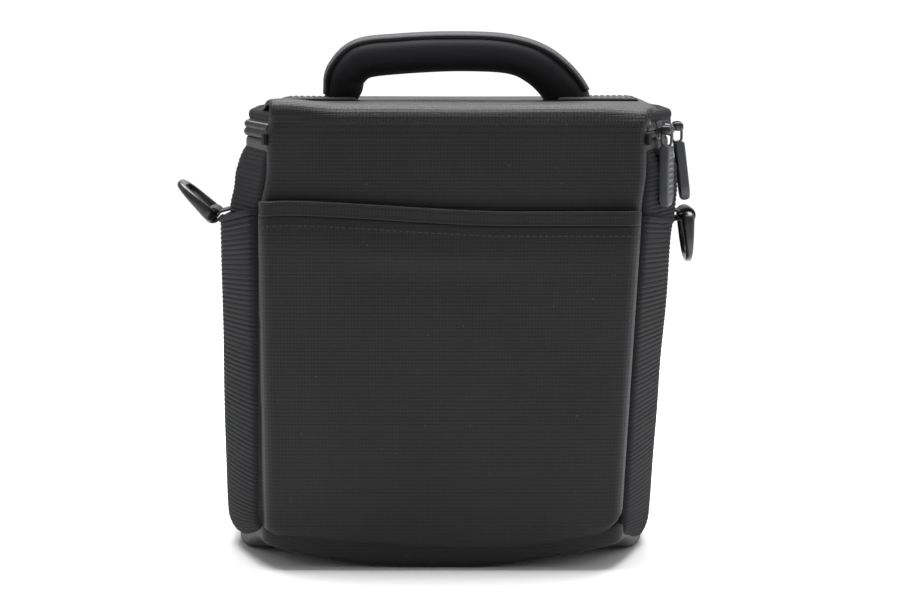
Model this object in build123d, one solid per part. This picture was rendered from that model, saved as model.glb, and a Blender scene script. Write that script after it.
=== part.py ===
"""Small padded camera bag with a front-hinged zip lid, a carry handle and two strap rings.

Frame: origin at the centre of the base on the surface the bag stands on, +X to the bag's right
as seen from the front, -Y out of the front pocket, +Z up. All sizes are millimetres.
"""
from build123d import *
from math import atan2, cos, degrees, radians, sin, tan
import os

# ---- Overall outline, seen from above: narrow front, wide middle, slightly narrower back ----
middle_half_width = 94.0
front_taper = 15.0
back_taper = 6.0
half_depth = 60.0
side_flat_front_y = -15.0
side_flat_back_y = 25.0
front_corner_radius = 6.0
side_bend_radius = 30.0
back_corner_radius = 12.0

# ---- Heights above the surface ----
body_height = 192.0
lid_depth = 9.5
base_tray_height = 8.0
base_edge_radius = 6.0
front_pocket_drop = 42.0
front_pocket_bottom = 12.0
side_pocket_drop = 51.0
handle_rise = 29.0

# ---- Cloth, foam and board thicknesses ----
outer_cloth = 1.2
wall_foam = 6.0
liner_cloth = 0.8
base_cloth = 1.6
base_board = 2.0
base_foam = 6.0
pocket_cloth = 1.4
hem_extra = 0.6
hem_height = 6.0
webbing = 1.6

# ---- Lid and zip ----
lid_front_clearance = 0.4
chain_gap = 1.0
chain_height = 2.2
chain_proud = 0.4
chain_depth = 2.0
body_tape_height = 4.8
lid_tape_height = 1.4
lid_skirt_depth = 3.0
lid_lining_gap = 1.2
side_foam_drop = 1.2

# ---- Pockets ----
side_pocket_gap = 5.6
front_pocket_gap = 6.4

# ---- Handle ----
handle_centre_x = 2.0
handle_inset = 34.5
handle_thickness = 17.0
handle_leg_thickness = 13.5
handle_width = 26.0
handle_outer_radius = 24.0
handle_inner_radius = 9.0
handle_edge_radius = 4.0
handle_tilt_limit = 35.0
handle_clearance = 0.4
handle_cover = 5.0
handle_core_width = 12.0
strip_width = 18.0
strip_thickness = 1.2
tab_length = 32.0
tab_overhang = 18.0
tab_width = 25.0

# ---- Zip sliders and pulls ----
front_slider_setback = 22.0
rear_slider_y = -4.0
slider_length = 9.0
slider_plate = 1.2
slider_reach = 4.0
slider_clearance = 0.3
slider_post_height = 0.5
bridge_bar_radius = 1.1
bridge_leg = 1.2
wire_diameter = 1.2
wire_clearance = 0.35
eye_clearance = 0.45
eye_bar = 1.2
loop_length = 5.0
pull_length = 24.0
pull_width = 11.0
pull_thickness = 4.5
pull_tongue = 1.9
pull_end_radius = 4.5
end_tab_setback = 4.5
end_tab_length = 7.0
end_tab_height = 5.0
end_tab_thickness = 1.0

# ---- Strap rings ----
ring_centre_y = 5.0
ring_rise = 2.6
ring_bar_radius = 2.0
ring_reach = 23.5
ring_half_width = 14.0
ring_corner_radius = 7.0
ring_tab_width = 18.0
ring_tab_clearance = 0.3
ring_tab_cloth = 1.1
ring_tab_patch_height = 4.0
ring_wall_clearance = 0.5
left_ring_raise = 127.0

# ---- Padded divider ----
divider_x = 22.0
divider_thickness = 8.0
divider_headroom = 31.6
divider_clearance = 0.5
hook_strip_thickness = 1.0
hook_strip_width = 6.0

# ---- Places that follow from the sizes above ----
front_half_width = middle_half_width - front_taper
back_half_width = middle_half_width - back_taper
zip_height = body_height - lid_depth
front_pocket_top = body_height - front_pocket_drop
side_pocket_top = body_height - side_pocket_drop
handle_top = body_height + handle_rise
handle_half_span = middle_half_width - handle_inset
front_slider_y = -half_depth + front_slider_setback
end_tab_y = -half_depth + end_tab_setback
ring_axis_height = side_pocket_top + ring_rise
divider_top = zip_height - divider_headroom
liner_inset = outer_cloth + wall_foam
wall = liner_inset + liner_cloth
parting_low = zip_height - chain_gap / 2
parting_high = zip_height + chain_gap / 2
body_chain_low = parting_low - chain_height
body_tape_low = body_chain_low - body_tape_height
side_wall_top = body_tape_low + side_foam_drop
lid_chain_high = parting_high + chain_height
lid_skirt_low = lid_chain_high + lid_tape_height
lid_cloth_low = body_height - outer_cloth
lid_lining_low = parting_high + lid_lining_gap
lid_front_y = -half_depth + lid_front_clearance
floor_low = base_cloth + base_board + base_foam
floor_top = floor_low + liner_cloth
pocket_outer_x = middle_half_width + side_pocket_gap + pocket_cloth
side_slant = degrees(atan2(middle_half_width - front_half_width, half_depth + side_flat_front_y))
front_pocket_inner_y = -half_depth - front_pocket_gap
front_pocket_outer_y = front_pocket_inner_y - pocket_cloth
handle_axis_height = body_height + webbing + handle_clearance
ring_axis_x = pocket_outer_x + hem_extra + ring_wall_clearance + ring_bar_radius
wire_bend_radius = bridge_bar_radius + wire_clearance + wire_diameter / 2
bridge_bar_x = (chain_proud + slider_clearance + slider_plate + slider_clearance
                + wire_bend_radius + wire_diameter / 2)
far = 400.0

nodes = {}


def span(x, y, z):
    """A box given by its low and high x, y and z."""
    size = (x[1] - x[0], y[1] - y[0], z[1] - z[0])
    return Pos(x[0], y[0], z[0]) * Box(*size, align=(Align.MIN, Align.MIN, Align.MIN))


def outline(inset=0.0, bulge=0.0):
    """The bag seen from above, drawn in by an inset, with its sides pushed out by a bulge."""
    side_x = middle_half_width + bulge
    right = [
        (front_half_width, -half_depth),
        (side_x, side_flat_front_y),
        (side_x, side_flat_back_y),
        (back_half_width, half_depth),
    ]
    left = [(-x, y) for x, y in reversed(right)]
    face = make_face(Polyline(*right, *left, close=True))
    if inset:
        face = offset(face, -inset, kind=Kind.INTERSECTION)
    corners = face.vertices().sort_by(Axis.Y)
    face = fillet(corners[:2], max(front_corner_radius - inset, 0.5))
    corners = face.vertices().sort_by(Axis.Y)
    face = fillet(corners[-2:], max(back_corner_radius - inset, 0.5))
    bends = face.vertices().filter_by_position(Axis.Y, side_flat_front_y - wall, side_flat_back_y + wall)
    return fillet(bends, side_bend_radius - inset)


def slab(inset, low, high, bulge=0.0):
    """The whole outline as a slab between two heights."""
    return Pos(0, 0, low) * extrude(outline(inset, bulge), high - low)


def ring_wall(outer_inset, inner_inset, low, high, bulge=0.0):
    """A wall all round the bag between two insets and two heights."""
    return slab(outer_inset, low, high, bulge) - slab(inner_inset, low, high, bulge)


def sector(side):
    """The share of the bag that belongs to one side: walls meet on rays through the corners."""
    front = (front_half_width / half_depth, -1.0)
    back = (back_half_width / half_depth, 1.0)
    reach = 3 * half_depth
    rays = {
        "front": [(-front[0], front[1]), front],
        "right": [front, back],
        "back": [back, (-back[0], back[1])],
        "left": [(-back[0], back[1]), (-front[0], front[1])],
    }
    points = [(0, 0)] + [(x * reach, y * reach) for x, y in rays[side]]
    return extrude(make_face(Polyline(*points, close=True)), far)


def behind(y):
    """Everything behind a plane across the bag."""
    return span((-far, far), (y, far), (0, far))


def add(name, shape):
    """Keep one sub-part under its node name."""
    shape.label = name
    nodes[name] = shape


# ---- Base: cloth tray, stiff board, foam and floor lining ----
tray = slab(0, 0, base_tray_height)
tray = fillet(tray.faces().sort_by(Axis.Z)[0].edges(), base_edge_radius)
add("base_panel", tray - slab(wall, base_cloth, base_tray_height))
add("base_board", slab(wall, base_cloth, base_cloth + base_board))
add("base_foam", slab(wall, base_cloth + base_board, floor_low))
add("floor_liner", slab(wall, floor_low, floor_top))

# ---- Walls: outer cloth, foam and lining on four sides ----
for side in ("front", "back", "left", "right"):
    share = sector(side)
    if side == "front":
        cloth_top = parting_low
        foam_top = parting_low
    else:
        cloth_top = body_tape_low
        foam_top = side_wall_top
    add(f"{side}_panel", share & ring_wall(0, outer_cloth, base_tray_height, cloth_top))
    add(f"{side}_foam", share & ring_wall(outer_cloth, liner_inset, base_tray_height, foam_top))
    add(f"{side}_liner", share & ring_wall(liner_inset, wall, base_tray_height, foam_top))

# ---- Side pockets: cloth standing off the wall, open at the top, with a folded hem ----
zip_side = behind(-half_depth + lid_front_clearance / 2)
for side in ("left", "right"):
    share = sector(side)
    shell = slab(0, base_tray_height, side_pocket_top)
    pocket = ring_wall(-pocket_cloth, 0, base_tray_height, side_pocket_top, side_pocket_gap)
    hem_low = side_pocket_top - hem_height
    hem = ring_wall(-pocket_cloth - hem_extra, -pocket_cloth, hem_low, side_pocket_top, side_pocket_gap)
    floor = slab(0, base_tray_height, base_tray_height + pocket_cloth, side_pocket_gap)
    add(f"{side}_pocket_panel", share & (pocket + floor) - shell)
    add(f"{side}_pocket_hem", share & hem & zip_side)

# ---- Front slip pocket: flat panel on a shallow gusset, with a folded hem ----
pocket_half = front_half_width
inner_half = pocket_half - pocket_cloth
pocket_heights = (front_pocket_bottom, front_pocket_top)
side_shell = slab(-pocket_cloth - hem_extra, 0, body_height, side_pocket_gap)
gusset_back_y = -half_depth + front_corner_radius
gusset = span((-pocket_half, pocket_half), (front_pocket_inner_y, gusset_back_y), pocket_heights)
cavity_heights = (front_pocket_bottom + pocket_cloth, front_pocket_top)
gusset -= span((-inner_half, inner_half), (front_pocket_inner_y, gusset_back_y), cavity_heights)
add("front_pocket_gusset", gusset - side_shell)
panel_y = (front_pocket_outer_y, front_pocket_inner_y)
add("front_pocket_panel", span((-pocket_half, pocket_half), panel_y, pocket_heights))
hem_y = (front_pocket_outer_y - hem_extra, front_pocket_outer_y)
hem_heights = (front_pocket_top - hem_height, front_pocket_top)
add("front_pocket_hem", span((-pocket_half, pocket_half), hem_y, hem_heights))

# ---- Zip on the body: cloth tape and coil chain round the left, back and right ----
body_zip = zip_side - sector("front")
add("body_zip_tape", body_zip & ring_wall(0, outer_cloth, body_tape_low, body_chain_low))
chain_inset = chain_depth - chain_proud
add("body_zip_chain", body_zip & ring_wall(-chain_proud, chain_inset, body_chain_low, parting_low))

# ---- Lid: cloth with a front lip that folds at the hinge, foam, lining, skirt and zip half ----
lid_side = behind(lid_front_y)
lid_zip = lid_side - sector("front")
lid_cloth = slab(0, lid_cloth_low, body_height)
lid_lip = sector("front") & ring_wall(0, outer_cloth + lid_front_clearance, parting_high, lid_cloth_low)
add("lid_top_panel", lid_side & (lid_cloth + lid_lip))
add("lid_foam", slab(lid_skirt_depth, lid_lining_low + liner_cloth, lid_cloth_low))
add("lid_liner", slab(lid_skirt_depth, lid_lining_low, lid_lining_low + liner_cloth))
add("lid_skirt", lid_zip & ring_wall(0, lid_skirt_depth, lid_skirt_low, lid_cloth_low))
add("lid_zip_tape", lid_zip & ring_wall(0, outer_cloth, lid_chain_high, lid_skirt_low))
add("lid_zip_chain", lid_zip & ring_wall(-chain_proud, chain_inset, parting_high, lid_chain_high))

# ---- Handle: webbing tabs on the lid, and a padded grip that tilts over them ----
for side, sign in (("left", -1), ("right", 1)):
    tab_outer = handle_centre_x + sign * (handle_half_span + tab_overhang)
    tab_inner = tab_outer - sign * tab_length
    tab_x = (min(tab_outer, tab_inner), max(tab_outer, tab_inner))
    tab_z = (body_height, body_height + webbing)
    add(f"handle_tab_{side}", span(tab_x, (-tab_width / 2, tab_width / 2), tab_z))


def arch(half_span, top, corner, width):
    """A block with rounded top corners, as wide as the handle or less, centred on the handle."""
    low = body_height - handle_thickness
    block = span((-half_span, half_span), (-width / 2, width / 2), (low, top))
    corners = block.edges().filter_by(Axis.Y).group_by(Axis.Z)[-1]
    return Pos(handle_centre_x, 0, 0) * fillet(corners, corner)


inner_half_span = handle_half_span - handle_leg_thickness
inner_top = handle_top - handle_thickness
grip = arch(handle_half_span, handle_top, handle_outer_radius, handle_width)
grip -= arch(inner_half_span, inner_top, handle_inner_radius, far)
grip_low = body_height - handle_thickness
side_edges = grip.edges().group_by(Axis.Y)[0] + grip.edges().group_by(Axis.Y)[-1]
grip = fillet(side_edges.filter_by(lambda edge: edge.center().Z > grip_low + 0.01), handle_edge_radius)
slope = tan(radians(handle_tilt_limit + 1.0))
wedge_points = [(0, handle_axis_height), (far, handle_axis_height + far * slope)]
wedge_points += [(-far, handle_axis_height + far * slope)]
tilt_room = make_face(Polyline(*[(0, y, z) for y, z in wedge_points], close=True))
tilt_room = extrude(tilt_room, far / 2, both=True, dir=(1, 0, 0))
core_low = span((-far, far), (-far, far), (handle_axis_height + handle_core_width / 2, far))
core = arch(handle_half_span - handle_cover, handle_top - handle_cover,
            handle_outer_radius - handle_cover, handle_core_width)
core -= arch(inner_half_span + handle_cover, inner_top + handle_cover,
             handle_inner_radius + handle_cover, far)
core = core & core_low
add("handle_core", core)
add("handle_grip", (grip & tilt_room) - core)
strip = arch(handle_half_span + strip_thickness, handle_top + strip_thickness,
             handle_outer_radius + strip_thickness, strip_width)
strip -= arch(handle_half_span, handle_top, handle_outer_radius, far)
add("handle_top_strip", strip & tilt_room)


# ---- Zip end tabs, sliders and pulls, all drawn on a wall facing +X with the zip at z = 0 ----
def on_right_side(y):
    """Where the right wall's outer face is at a depth y, turned to face squarely out of it."""
    if y < side_flat_front_y:
        x = middle_half_width - (side_flat_front_y - y) * tan(radians(side_slant))
        return Location((x, y, zip_height), (0, 0, -side_slant))
    return Location((middle_half_width, y, zip_height), (0, 0, 0))


def slider_body():
    """Outer plate, short inner plate, thin post between the chains, and the bridge for the pull."""
    half = slider_length / 2
    outer = chain_proud + slider_clearance
    inner = -chain_inset - slider_clearance
    post = slider_post_height / 2
    plate = span((outer, outer + slider_plate), (-half, half), (-slider_reach, slider_reach))
    inner_z = (-slider_reach, post)
    inner_plate = span((inner - slider_plate, inner), (-half, half), inner_z)
    divider_post = span((inner, outer), (-half / 2, half / 2), (-post, post))
    bar = Pos(bridge_bar_x, 0, 0) * Rot(90, 0, 0) * Cylinder(bridge_bar_radius, slider_length)
    body = plate + inner_plate + divider_post + bar
    for low in (-half, half - bridge_leg):
        leg_z = (-bridge_bar_radius, bridge_bar_radius)
        body += span((outer, bridge_bar_x), (low, low + bridge_leg), leg_z)
    return body


def wire_loop():
    """Closed wire round the bridge bar, with two straight sides down to the pull."""
    path = SlotCenterToCenter(loop_length, 2 * wire_bend_radius).edges()
    ends = Plane(origin=(0, wire_bend_radius, 0), z_dir=(1, 0, 0))
    loop = sweep(ends * Circle(wire_diameter / 2), Wire(path))
    centre_z = -loop_length / 2
    return Pos(bridge_bar_x, 0, centre_z) * Rot(0, 90, 0) * Rot(90, 0, 0) * loop


def pull_grip():
    """Moulded pull with a thin eye at the top for the wire and a rounded lower end."""
    half = pull_width / 2
    eye_radius = wire_diameter / 2 + eye_clearance
    eye_z = -loop_length - wire_bend_radius
    shoulder = eye_z - eye_radius - eye_clearance
    top = eye_z + eye_radius + eye_bar
    thick = (bridge_bar_x - pull_thickness / 2, bridge_bar_x + pull_thickness / 2)
    thin = (bridge_bar_x - pull_tongue / 2, bridge_bar_x + pull_tongue / 2)
    grip_body = span(thick, (-half, half), (shoulder - pull_length, shoulder))
    ends_low = grip_body.edges().filter_by(Axis.X).group_by(Axis.Z)[0]
    grip_body = fillet(ends_low, pull_end_radius)
    tongue = span(thin, (-half / 2, half / 2), (shoulder, top))
    eye = Pos(bridge_bar_x, 0, eye_z) * Rot(0, 90, 0) * Cylinder(eye_radius, pull_thickness)
    return grip_body + tongue - eye


for name, slider_y in (("front", front_slider_y), ("rear", rear_slider_y)):
    place = on_right_side(slider_y)
    add(f"{name}_slider", place * slider_body())
    add(f"{name}_pull_loop", place * wire_loop())
    add(f"{name}_pull", place * pull_grip())

tab_half = end_tab_length / 2
tab_x = (chain_proud, chain_proud + end_tab_thickness)
tab_z = (-chain_gap / 2 - end_tab_height, -chain_gap / 2)
end_tab = on_right_side(end_tab_y) * span(tab_x, (-tab_half, tab_half), tab_z)
end_tab = end_tab & zip_side
add("zip_end_tab_right", end_tab)
add("zip_end_tab_left", mirror(end_tab, Plane.YZ))


# ---- Strap rings on webbing tabs, drawn hanging on the right with the bar's axis at x = z = 0 ----
def strap_ring():
    """Closed ring: a round bar in the tab, two sides and a far bar with rounded corners."""
    size = (2 * ring_bar_radius, 2 * ring_half_width, ring_reach + ring_bar_radius)
    frame = Pos(0, 0, (ring_bar_radius - ring_reach) / 2) * Box(*size)
    outer_corners = frame.edges().filter_by(Axis.X).group_by(Axis.Z)[0]
    frame = fillet(outer_corners, ring_corner_radius)
    bar = 2 * ring_bar_radius
    hole_z = (-ring_reach + bar, far)
    hole = span((-far, far), (-ring_half_width + bar, ring_half_width - bar), hole_z)
    hole_corners = hole.edges().filter_by(Axis.X).group_by(Axis.Z)[0]
    frame -= fillet(hole_corners, ring_corner_radius - bar)
    axle = Rot(90, 0, 0) * Cylinder(ring_bar_radius, 2 * ring_half_width - bar)
    return frame + axle


def ring_tab():
    """Webbing from a sewn patch on the wall out and round the ring's bar."""
    loop_radius = ring_bar_radius + ring_tab_clearance + ring_tab_cloth
    wall_x = middle_half_width - ring_axis_x
    half = ring_tab_width / 2
    patch_half = ring_tab_patch_height / 2
    patch = span((wall_x, wall_x + ring_tab_cloth), (-half, half), (-patch_half, patch_half))
    strap = span((wall_x, 0), (-half, half), (-ring_tab_cloth, ring_tab_cloth))
    loop = Rot(90, 0, 0) * Cylinder(loop_radius, ring_tab_width)
    hole = Rot(90, 0, 0) * Cylinder(ring_bar_radius + ring_tab_clearance, ring_tab_width)
    return patch + strap + loop - hole


ring_place = Pos(ring_axis_x, ring_centre_y, ring_axis_height)
add("right_ring", ring_place * strap_ring())
add("right_ring_tab", ring_place * ring_tab())
raised = ring_place * Rot(0, -left_ring_raise, 0) * strap_ring()
add("left_ring", mirror(raised, Plane.YZ))
add("left_ring_tab", mirror(ring_place * ring_tab(), Plane.YZ))

# ---- Padded divider with a hook strip on each end ----
divider_half = half_depth - wall - divider_clearance
pad_half = divider_half - hook_strip_thickness
divider_x_range = (divider_x - divider_thickness / 2, divider_x + divider_thickness / 2)
divider_z = (floor_top + divider_clearance, divider_top)
pad = span(divider_x_range, (-pad_half, pad_half), divider_z)
add("divider_pad", pad)
strip_x = (divider_x - hook_strip_width / 2, divider_x + hook_strip_width / 2)
add("divider_front_hook_strip", span(strip_x, (-divider_half, -pad_half), divider_z))
add("divider_rear_hook_strip", span(strip_x, (pad_half, divider_half), divider_z))

os.makedirs("parts", exist_ok=True)
for name, shape in nodes.items():
    export_step(shape, f"parts/{name}.step")
print(len(nodes), "nodes written")
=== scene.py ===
# %% [markdown]
# A small padded camera bag, dressed over its working frame. The frame holds the sizes, the joints and the
# hard pieces. Every cloth piece here is a surface worked out from a formula, so that its size can be read
# and changed, and it stands in the space of the plain solid that it replaces.

# %% Load the frame
import bmesh
import bpy
import math
import numpy as np
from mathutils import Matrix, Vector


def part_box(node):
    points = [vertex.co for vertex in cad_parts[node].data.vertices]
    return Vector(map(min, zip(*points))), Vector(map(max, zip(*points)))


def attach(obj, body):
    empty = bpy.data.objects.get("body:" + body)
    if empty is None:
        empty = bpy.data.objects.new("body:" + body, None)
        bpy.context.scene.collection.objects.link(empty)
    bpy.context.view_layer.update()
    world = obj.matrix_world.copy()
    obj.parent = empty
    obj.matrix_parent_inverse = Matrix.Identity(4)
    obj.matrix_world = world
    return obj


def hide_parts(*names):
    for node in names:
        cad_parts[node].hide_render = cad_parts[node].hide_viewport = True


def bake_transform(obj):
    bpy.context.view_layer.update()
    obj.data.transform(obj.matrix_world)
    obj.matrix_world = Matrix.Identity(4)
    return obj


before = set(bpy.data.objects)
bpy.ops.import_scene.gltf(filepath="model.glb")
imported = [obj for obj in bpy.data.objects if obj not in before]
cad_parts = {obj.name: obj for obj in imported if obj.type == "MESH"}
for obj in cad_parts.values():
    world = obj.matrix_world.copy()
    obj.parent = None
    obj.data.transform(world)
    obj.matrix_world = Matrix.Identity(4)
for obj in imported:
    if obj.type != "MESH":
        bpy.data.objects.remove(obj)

MM = 0.001
X_AXIS, Y_AXIS, Z_AXIS = np.eye(3)
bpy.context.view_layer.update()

# %% [markdown]
# The driving sizes come from the frame's own nodes, in millimetres. Each one is read once and named for
# what a bag maker would call it, so the dressing follows the frame if the frame is changed.

# %% Sizes read from the frame
def extent(node, axis, end):
    """One face of a node's box in millimetres: axis 0 to 2, end 0 for low and 1 for high."""
    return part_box(node)[end][axis] / MM


front_y = extent("front_panel", 1, 0)
back_y = extent("back_panel", 1, 1)
side_x = extent("right_panel", 0, 1)
lid_top = extent("lid_top_panel", 2, 1)
skirt_low = extent("lid_skirt", 2, 0)
binding_low = extent("body_zip_tape", 2, 0)
body_chain_low = extent("body_zip_chain", 2, 0)
body_chain_top = extent("body_zip_chain", 2, 1)
lid_chain_low = extent("lid_zip_chain", 2, 0)
lid_chain_top = extent("lid_zip_chain", 2, 1)
pocket_top = extent("front_pocket_panel", 2, 1)
side_pocket_top = extent("right_pocket_panel", 2, 1)
side_pocket_x = extent("right_pocket_panel", 0, 1)
parting = (body_chain_top + lid_chain_low) / 2
front_half = 79.0  # half width at the front face
back_half = 88.0
bend_front_y = -15.0  # the side walls are widest between these two depths
bend_back_y = 25.0
print("parting line at", round(parting, 2), "mm, pocket top at", round(pocket_top, 2), "mm")

# %% [markdown]
# A cloth piece is a grid of points with one face between each four. The helpers here turn whole arrays
# into meshes. A closed sheet has an outer skin, an inner skin and a rim, so that it has a real thickness
# and no open edge.

# %% Arrays to meshes
def ease(t):
    """Smooth step: three t squared minus two t cubed, with t held between 0 and 1."""
    t = np.clip(t, 0.0, 1.0)
    return t * t * (3 - 2 * t)


def unit(v):
    """Each vector divided by its own length."""
    return v / np.maximum(np.linalg.norm(v, axis=-1, keepdims=True), 1e-12)


def running_length(line):
    """The length run along a line of points: the running sum of its steps, from zero."""
    return np.concatenate([[0], np.cumsum(np.linalg.norm(np.diff(line, axis=0), axis=1))])


def resample(line, run, at):
    """Points where a line's run has the values in at, each coordinate interpolated by itself."""
    return np.stack([np.interp(at, run, line[:, k]) for k in range(line.shape[1])], axis=-1)


def spread(*parts):
    """Points from arrays or numbers, one for each coordinate, stretched to one shape."""
    return np.stack(np.broadcast_arrays(*parts), axis=-1)


def turned(p, angle, first, second):
    """Points turned by an angle in the plane of two coordinates, from the first towards the second."""
    c, s = math.cos(angle), math.sin(angle)
    out = p.copy()
    out[..., first] = p[..., first] * c - p[..., second] * s
    out[..., second] = p[..., first] * s + p[..., second] * c
    return out


def read_vertices(mesh, what):
    """One array of three numbers for each vertex: its place in metres or its normal."""
    values = np.empty(len(mesh.vertices) * 3, dtype=np.float32)
    mesh.vertices.foreach_get(what, values)
    return values.reshape(-1, 3)


def mesh_piece(name, points, quads, uv, material, weld=0.0):
    """A mesh from points in millimetres, faces of four corners and one UV in metres for each point."""
    mesh = bpy.data.meshes.new(name)
    mesh.vertices.add(len(points))
    mesh.vertices.foreach_set("co", (np.asarray(points) * MM).astype(np.float32).ravel())
    mesh.loops.add(quads.size)
    mesh.loops.foreach_set("vertex_index", quads.ravel().astype(np.int32))
    mesh.polygons.add(len(quads))
    mesh.polygons.foreach_set("loop_start", np.arange(0, quads.size, 4, dtype=np.int32))
    mesh.update(calc_edges=True)
    layer = mesh.uv_layers.new(name="cloth")
    layer.data.foreach_set("uv", np.asarray(uv)[quads.ravel()].astype(np.float32).ravel())
    if weld:
        work = bmesh.new()
        work.from_mesh(mesh)
        bmesh.ops.remove_doubles(work, verts=work.verts, dist=weld * MM)
        work.to_mesh(mesh)
        work.free()
    mesh.shade_smooth()
    mesh.materials.append(material)
    piece = bpy.data.objects.new(name, mesh)
    bpy.context.scene.collection.objects.link(piece)
    return piece


def grid_quads(rows, columns, wrap_rows=False, wrap_columns=False, start=0):
    """Corner numbers of the faces of a grid, which may close on itself either way."""
    r = np.arange(rows if wrap_rows else rows - 1)[:, None]
    c = np.arange(columns if wrap_columns else columns - 1)[None, :]
    r2, c2 = (r + 1) % rows, (c + 1) % columns
    return start + np.stack([r * columns + c, r2 * columns + c, r2 * columns + c2, r * columns + c2],
                            axis=-1).reshape(-1, 4)


def grid_uv(p):
    """UV in metres: the running length along the middle row and the middle column."""
    rows, columns = p.shape[:2]
    u, v = running_length(p[:, columns // 2]), running_length(p[rows // 2])
    return spread(u[:, None], v[None]).reshape(-1, 2) * MM


def grid_normals(p):
    """Unit normals of a grid: the cross product of its row and column slopes."""
    return unit(np.cross(np.gradient(p, axis=0), np.gradient(p, axis=1)))


def closed_sheet(name, outer, inner, material, uv=None):
    """Two skins of one grid joined round their rim. The outer skin's normals point away from the inner."""
    rows, columns = outer.shape[:2]
    count = rows * columns
    towards = np.einsum("ijk,ijk->", grid_normals(outer), outer - inner)
    skin = grid_quads(rows, columns)
    lining = grid_quads(rows, columns, start=count)[:, ::-1]
    index = np.arange(count).reshape(rows, columns)
    rim = np.concatenate([index[0], index[1:, -1], index[-1, -2::-1], index[-2:0:-1, 0]])
    after = np.roll(rim, -1)
    edge = np.stack([rim, rim + count, after + count, after], axis=-1)
    quads = np.concatenate([skin, lining, edge[:, ::-1]])
    if towards < 0:
        quads = quads[:, ::-1]
    if uv is None:
        uv = grid_uv(outer)
    points = np.concatenate([outer.reshape(-1, 3), inner.reshape(-1, 3)])
    return mesh_piece(name, points, quads, np.concatenate([uv, uv]), material)


def thick_sheet(name, p, thickness, material, uv=None, outward=(0, 0, 0)):
    """A sheet of even thickness: its inner skin is the outer one moved back along its normals.
    outward is any direction that the outside faces, to settle the sign."""
    n = grid_normals(p)
    if np.einsum("ijk,k->", n, np.asarray(outward, float)) < 0:
        n = -n
    return closed_sheet(name, p, p - n * thickness, material, uv)


def carried(name, centres, side, up, section, material, closed=False, weld=0.02):
    """A section carried along a path: each ring is centre + side times x + up times y. section is one
    ring (m, 2) or one for each centre (n, m, 2). Open ends close on their own centre."""
    section = np.broadcast_to(section, (len(centres),) + np.shape(section)[-2:])
    ring = centres[:, None] + side[:, None] * section[..., :1] + up[:, None] * section[..., 1:]
    if not closed:
        cap = np.repeat(centres[[0, -1], None], ring.shape[1], axis=1)
        ring = np.concatenate([cap[:1], ring, cap[1:]])
    rows, columns = ring.shape[:2]
    quads = grid_quads(rows, columns, wrap_rows=closed, wrap_columns=True)
    middle = ring[rows // 2]
    turn = np.cross(middle[1] - middle[0], ring[rows // 2 + 1, 0] - middle[0])
    if np.dot(turn, middle[0] - middle.mean(axis=0)) > 0:
        quads = quads[:, ::-1]
    return mesh_piece(name, ring.reshape(-1, 3), quads, grid_uv(ring), material, weld)


def oval(count, a, b, power=2.0):
    """A closed ring between an ellipse, power 2, and a rectangle, high power."""
    t = np.arange(count) * 2 * np.pi / count
    c, s = np.cos(t), np.sin(t)
    return np.stack([a * np.sign(c) * np.abs(c) ** (2 / power),
                     b * np.sign(s) * np.abs(s) ** (2 / power)], axis=-1)


def dress(piece, slot, body, *nodes, fill=None):
    """Hides the plain solids that a piece stands for and hangs the piece on the body it rides on.
    slot, its material slot, is not used; fill, how full a padded piece is, is not used."""
    if nodes:
        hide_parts(*nodes)
    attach(piece, body)


print("array helpers ready")

# %% [markdown]
# The bag's real walls are soft. They narrow towards the base on the right side, lean a little at the top,
# and belly out between the base and the zip. One function holds each of these, and every cloth piece
# passes through them, so neighbours stay together.

# %% The bag's soft outline
SQUEEZE_RIGHT = 0.105
SQUEEZE_LEFT = 0.015
SQUEEZE_TOP = 150.0
LEAN = 2.0
LID_LEAN = 1.3
SLACK_LEFT = 2.3
SLACK_HALF = 94
LEAN_FROM, LEAN_OVER = 146, 22
LID_FROM, LID_OVER = 183, 4


def settle(p):
    """Moves points to the settled shape: x shrinks in proportion to depth below the pocket line, more on
    the right, and shifts by the lean above it, more at the slack left end."""
    x, z = p[..., 0], p[..., 2]
    low = np.clip(1 - z / SQUEEZE_TOP, 0, 1)
    share = np.where(x > 0, SQUEEZE_RIGHT, SQUEEZE_LEFT)
    out = p.copy()
    lean = LEAN + SLACK_LEFT * np.clip(-x / SLACK_HALF, 0, 1) ** 3
    lean = lean * ease((z - LEAN_FROM) / LEAN_OVER) + LID_LEAN * ease((z - LID_FROM) / LID_OVER)
    out[..., 0] = x * (1 - share * low) + lean
    return out


def rounded_path(points, radii, step):
    """Plan points through rounded corners: each corner is a quadratic curve between its two tangent
    points, and the whole is resampled at an even step."""
    points = np.asarray(points, float)
    pieces = [points[:1]]
    for before, corner, after, radius in zip(points, points[1:], points[2:], radii):
        a, b = unit(before - corner), unit(after - corner)
        half = 0.5 * math.acos(np.clip(np.dot(a, b), -1, 1))
        reach = radius / math.tan(half)
        t = np.linspace(0, 1, 15)[:, None]
        pieces.append((1 - t) ** 2 * (corner + a * reach) + 2 * t * (1 - t) * corner
                      + t ** 2 * (corner + b * reach))
    pieces.append(points[-1:])
    line = np.concatenate(pieces)
    run = running_length(line)
    return resample(line, run, np.linspace(0, run[-1], max(int(run[-1] / step), 2) + 1))


def plan_normals(path):
    """Unit normals to the left-hand turn's outside: the tangent turned by a quarter, in plan."""
    tangent = unit(np.gradient(path, axis=0))
    return np.stack([tangent[:, 1], -tangent[:, 0]], axis=-1)


def side_path(step, front_inset=2.5, out=0.0):
    """The right wall in plan from its front corner to its back corner, pushed out by out at its middle."""
    points = [(front_half, front_y + front_inset), (side_x + out, bend_front_y),
              (side_x + out, bend_back_y), (back_half + 0.6, back_y - 5.0)]
    return rounded_path(points, (40, 60), step)


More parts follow.
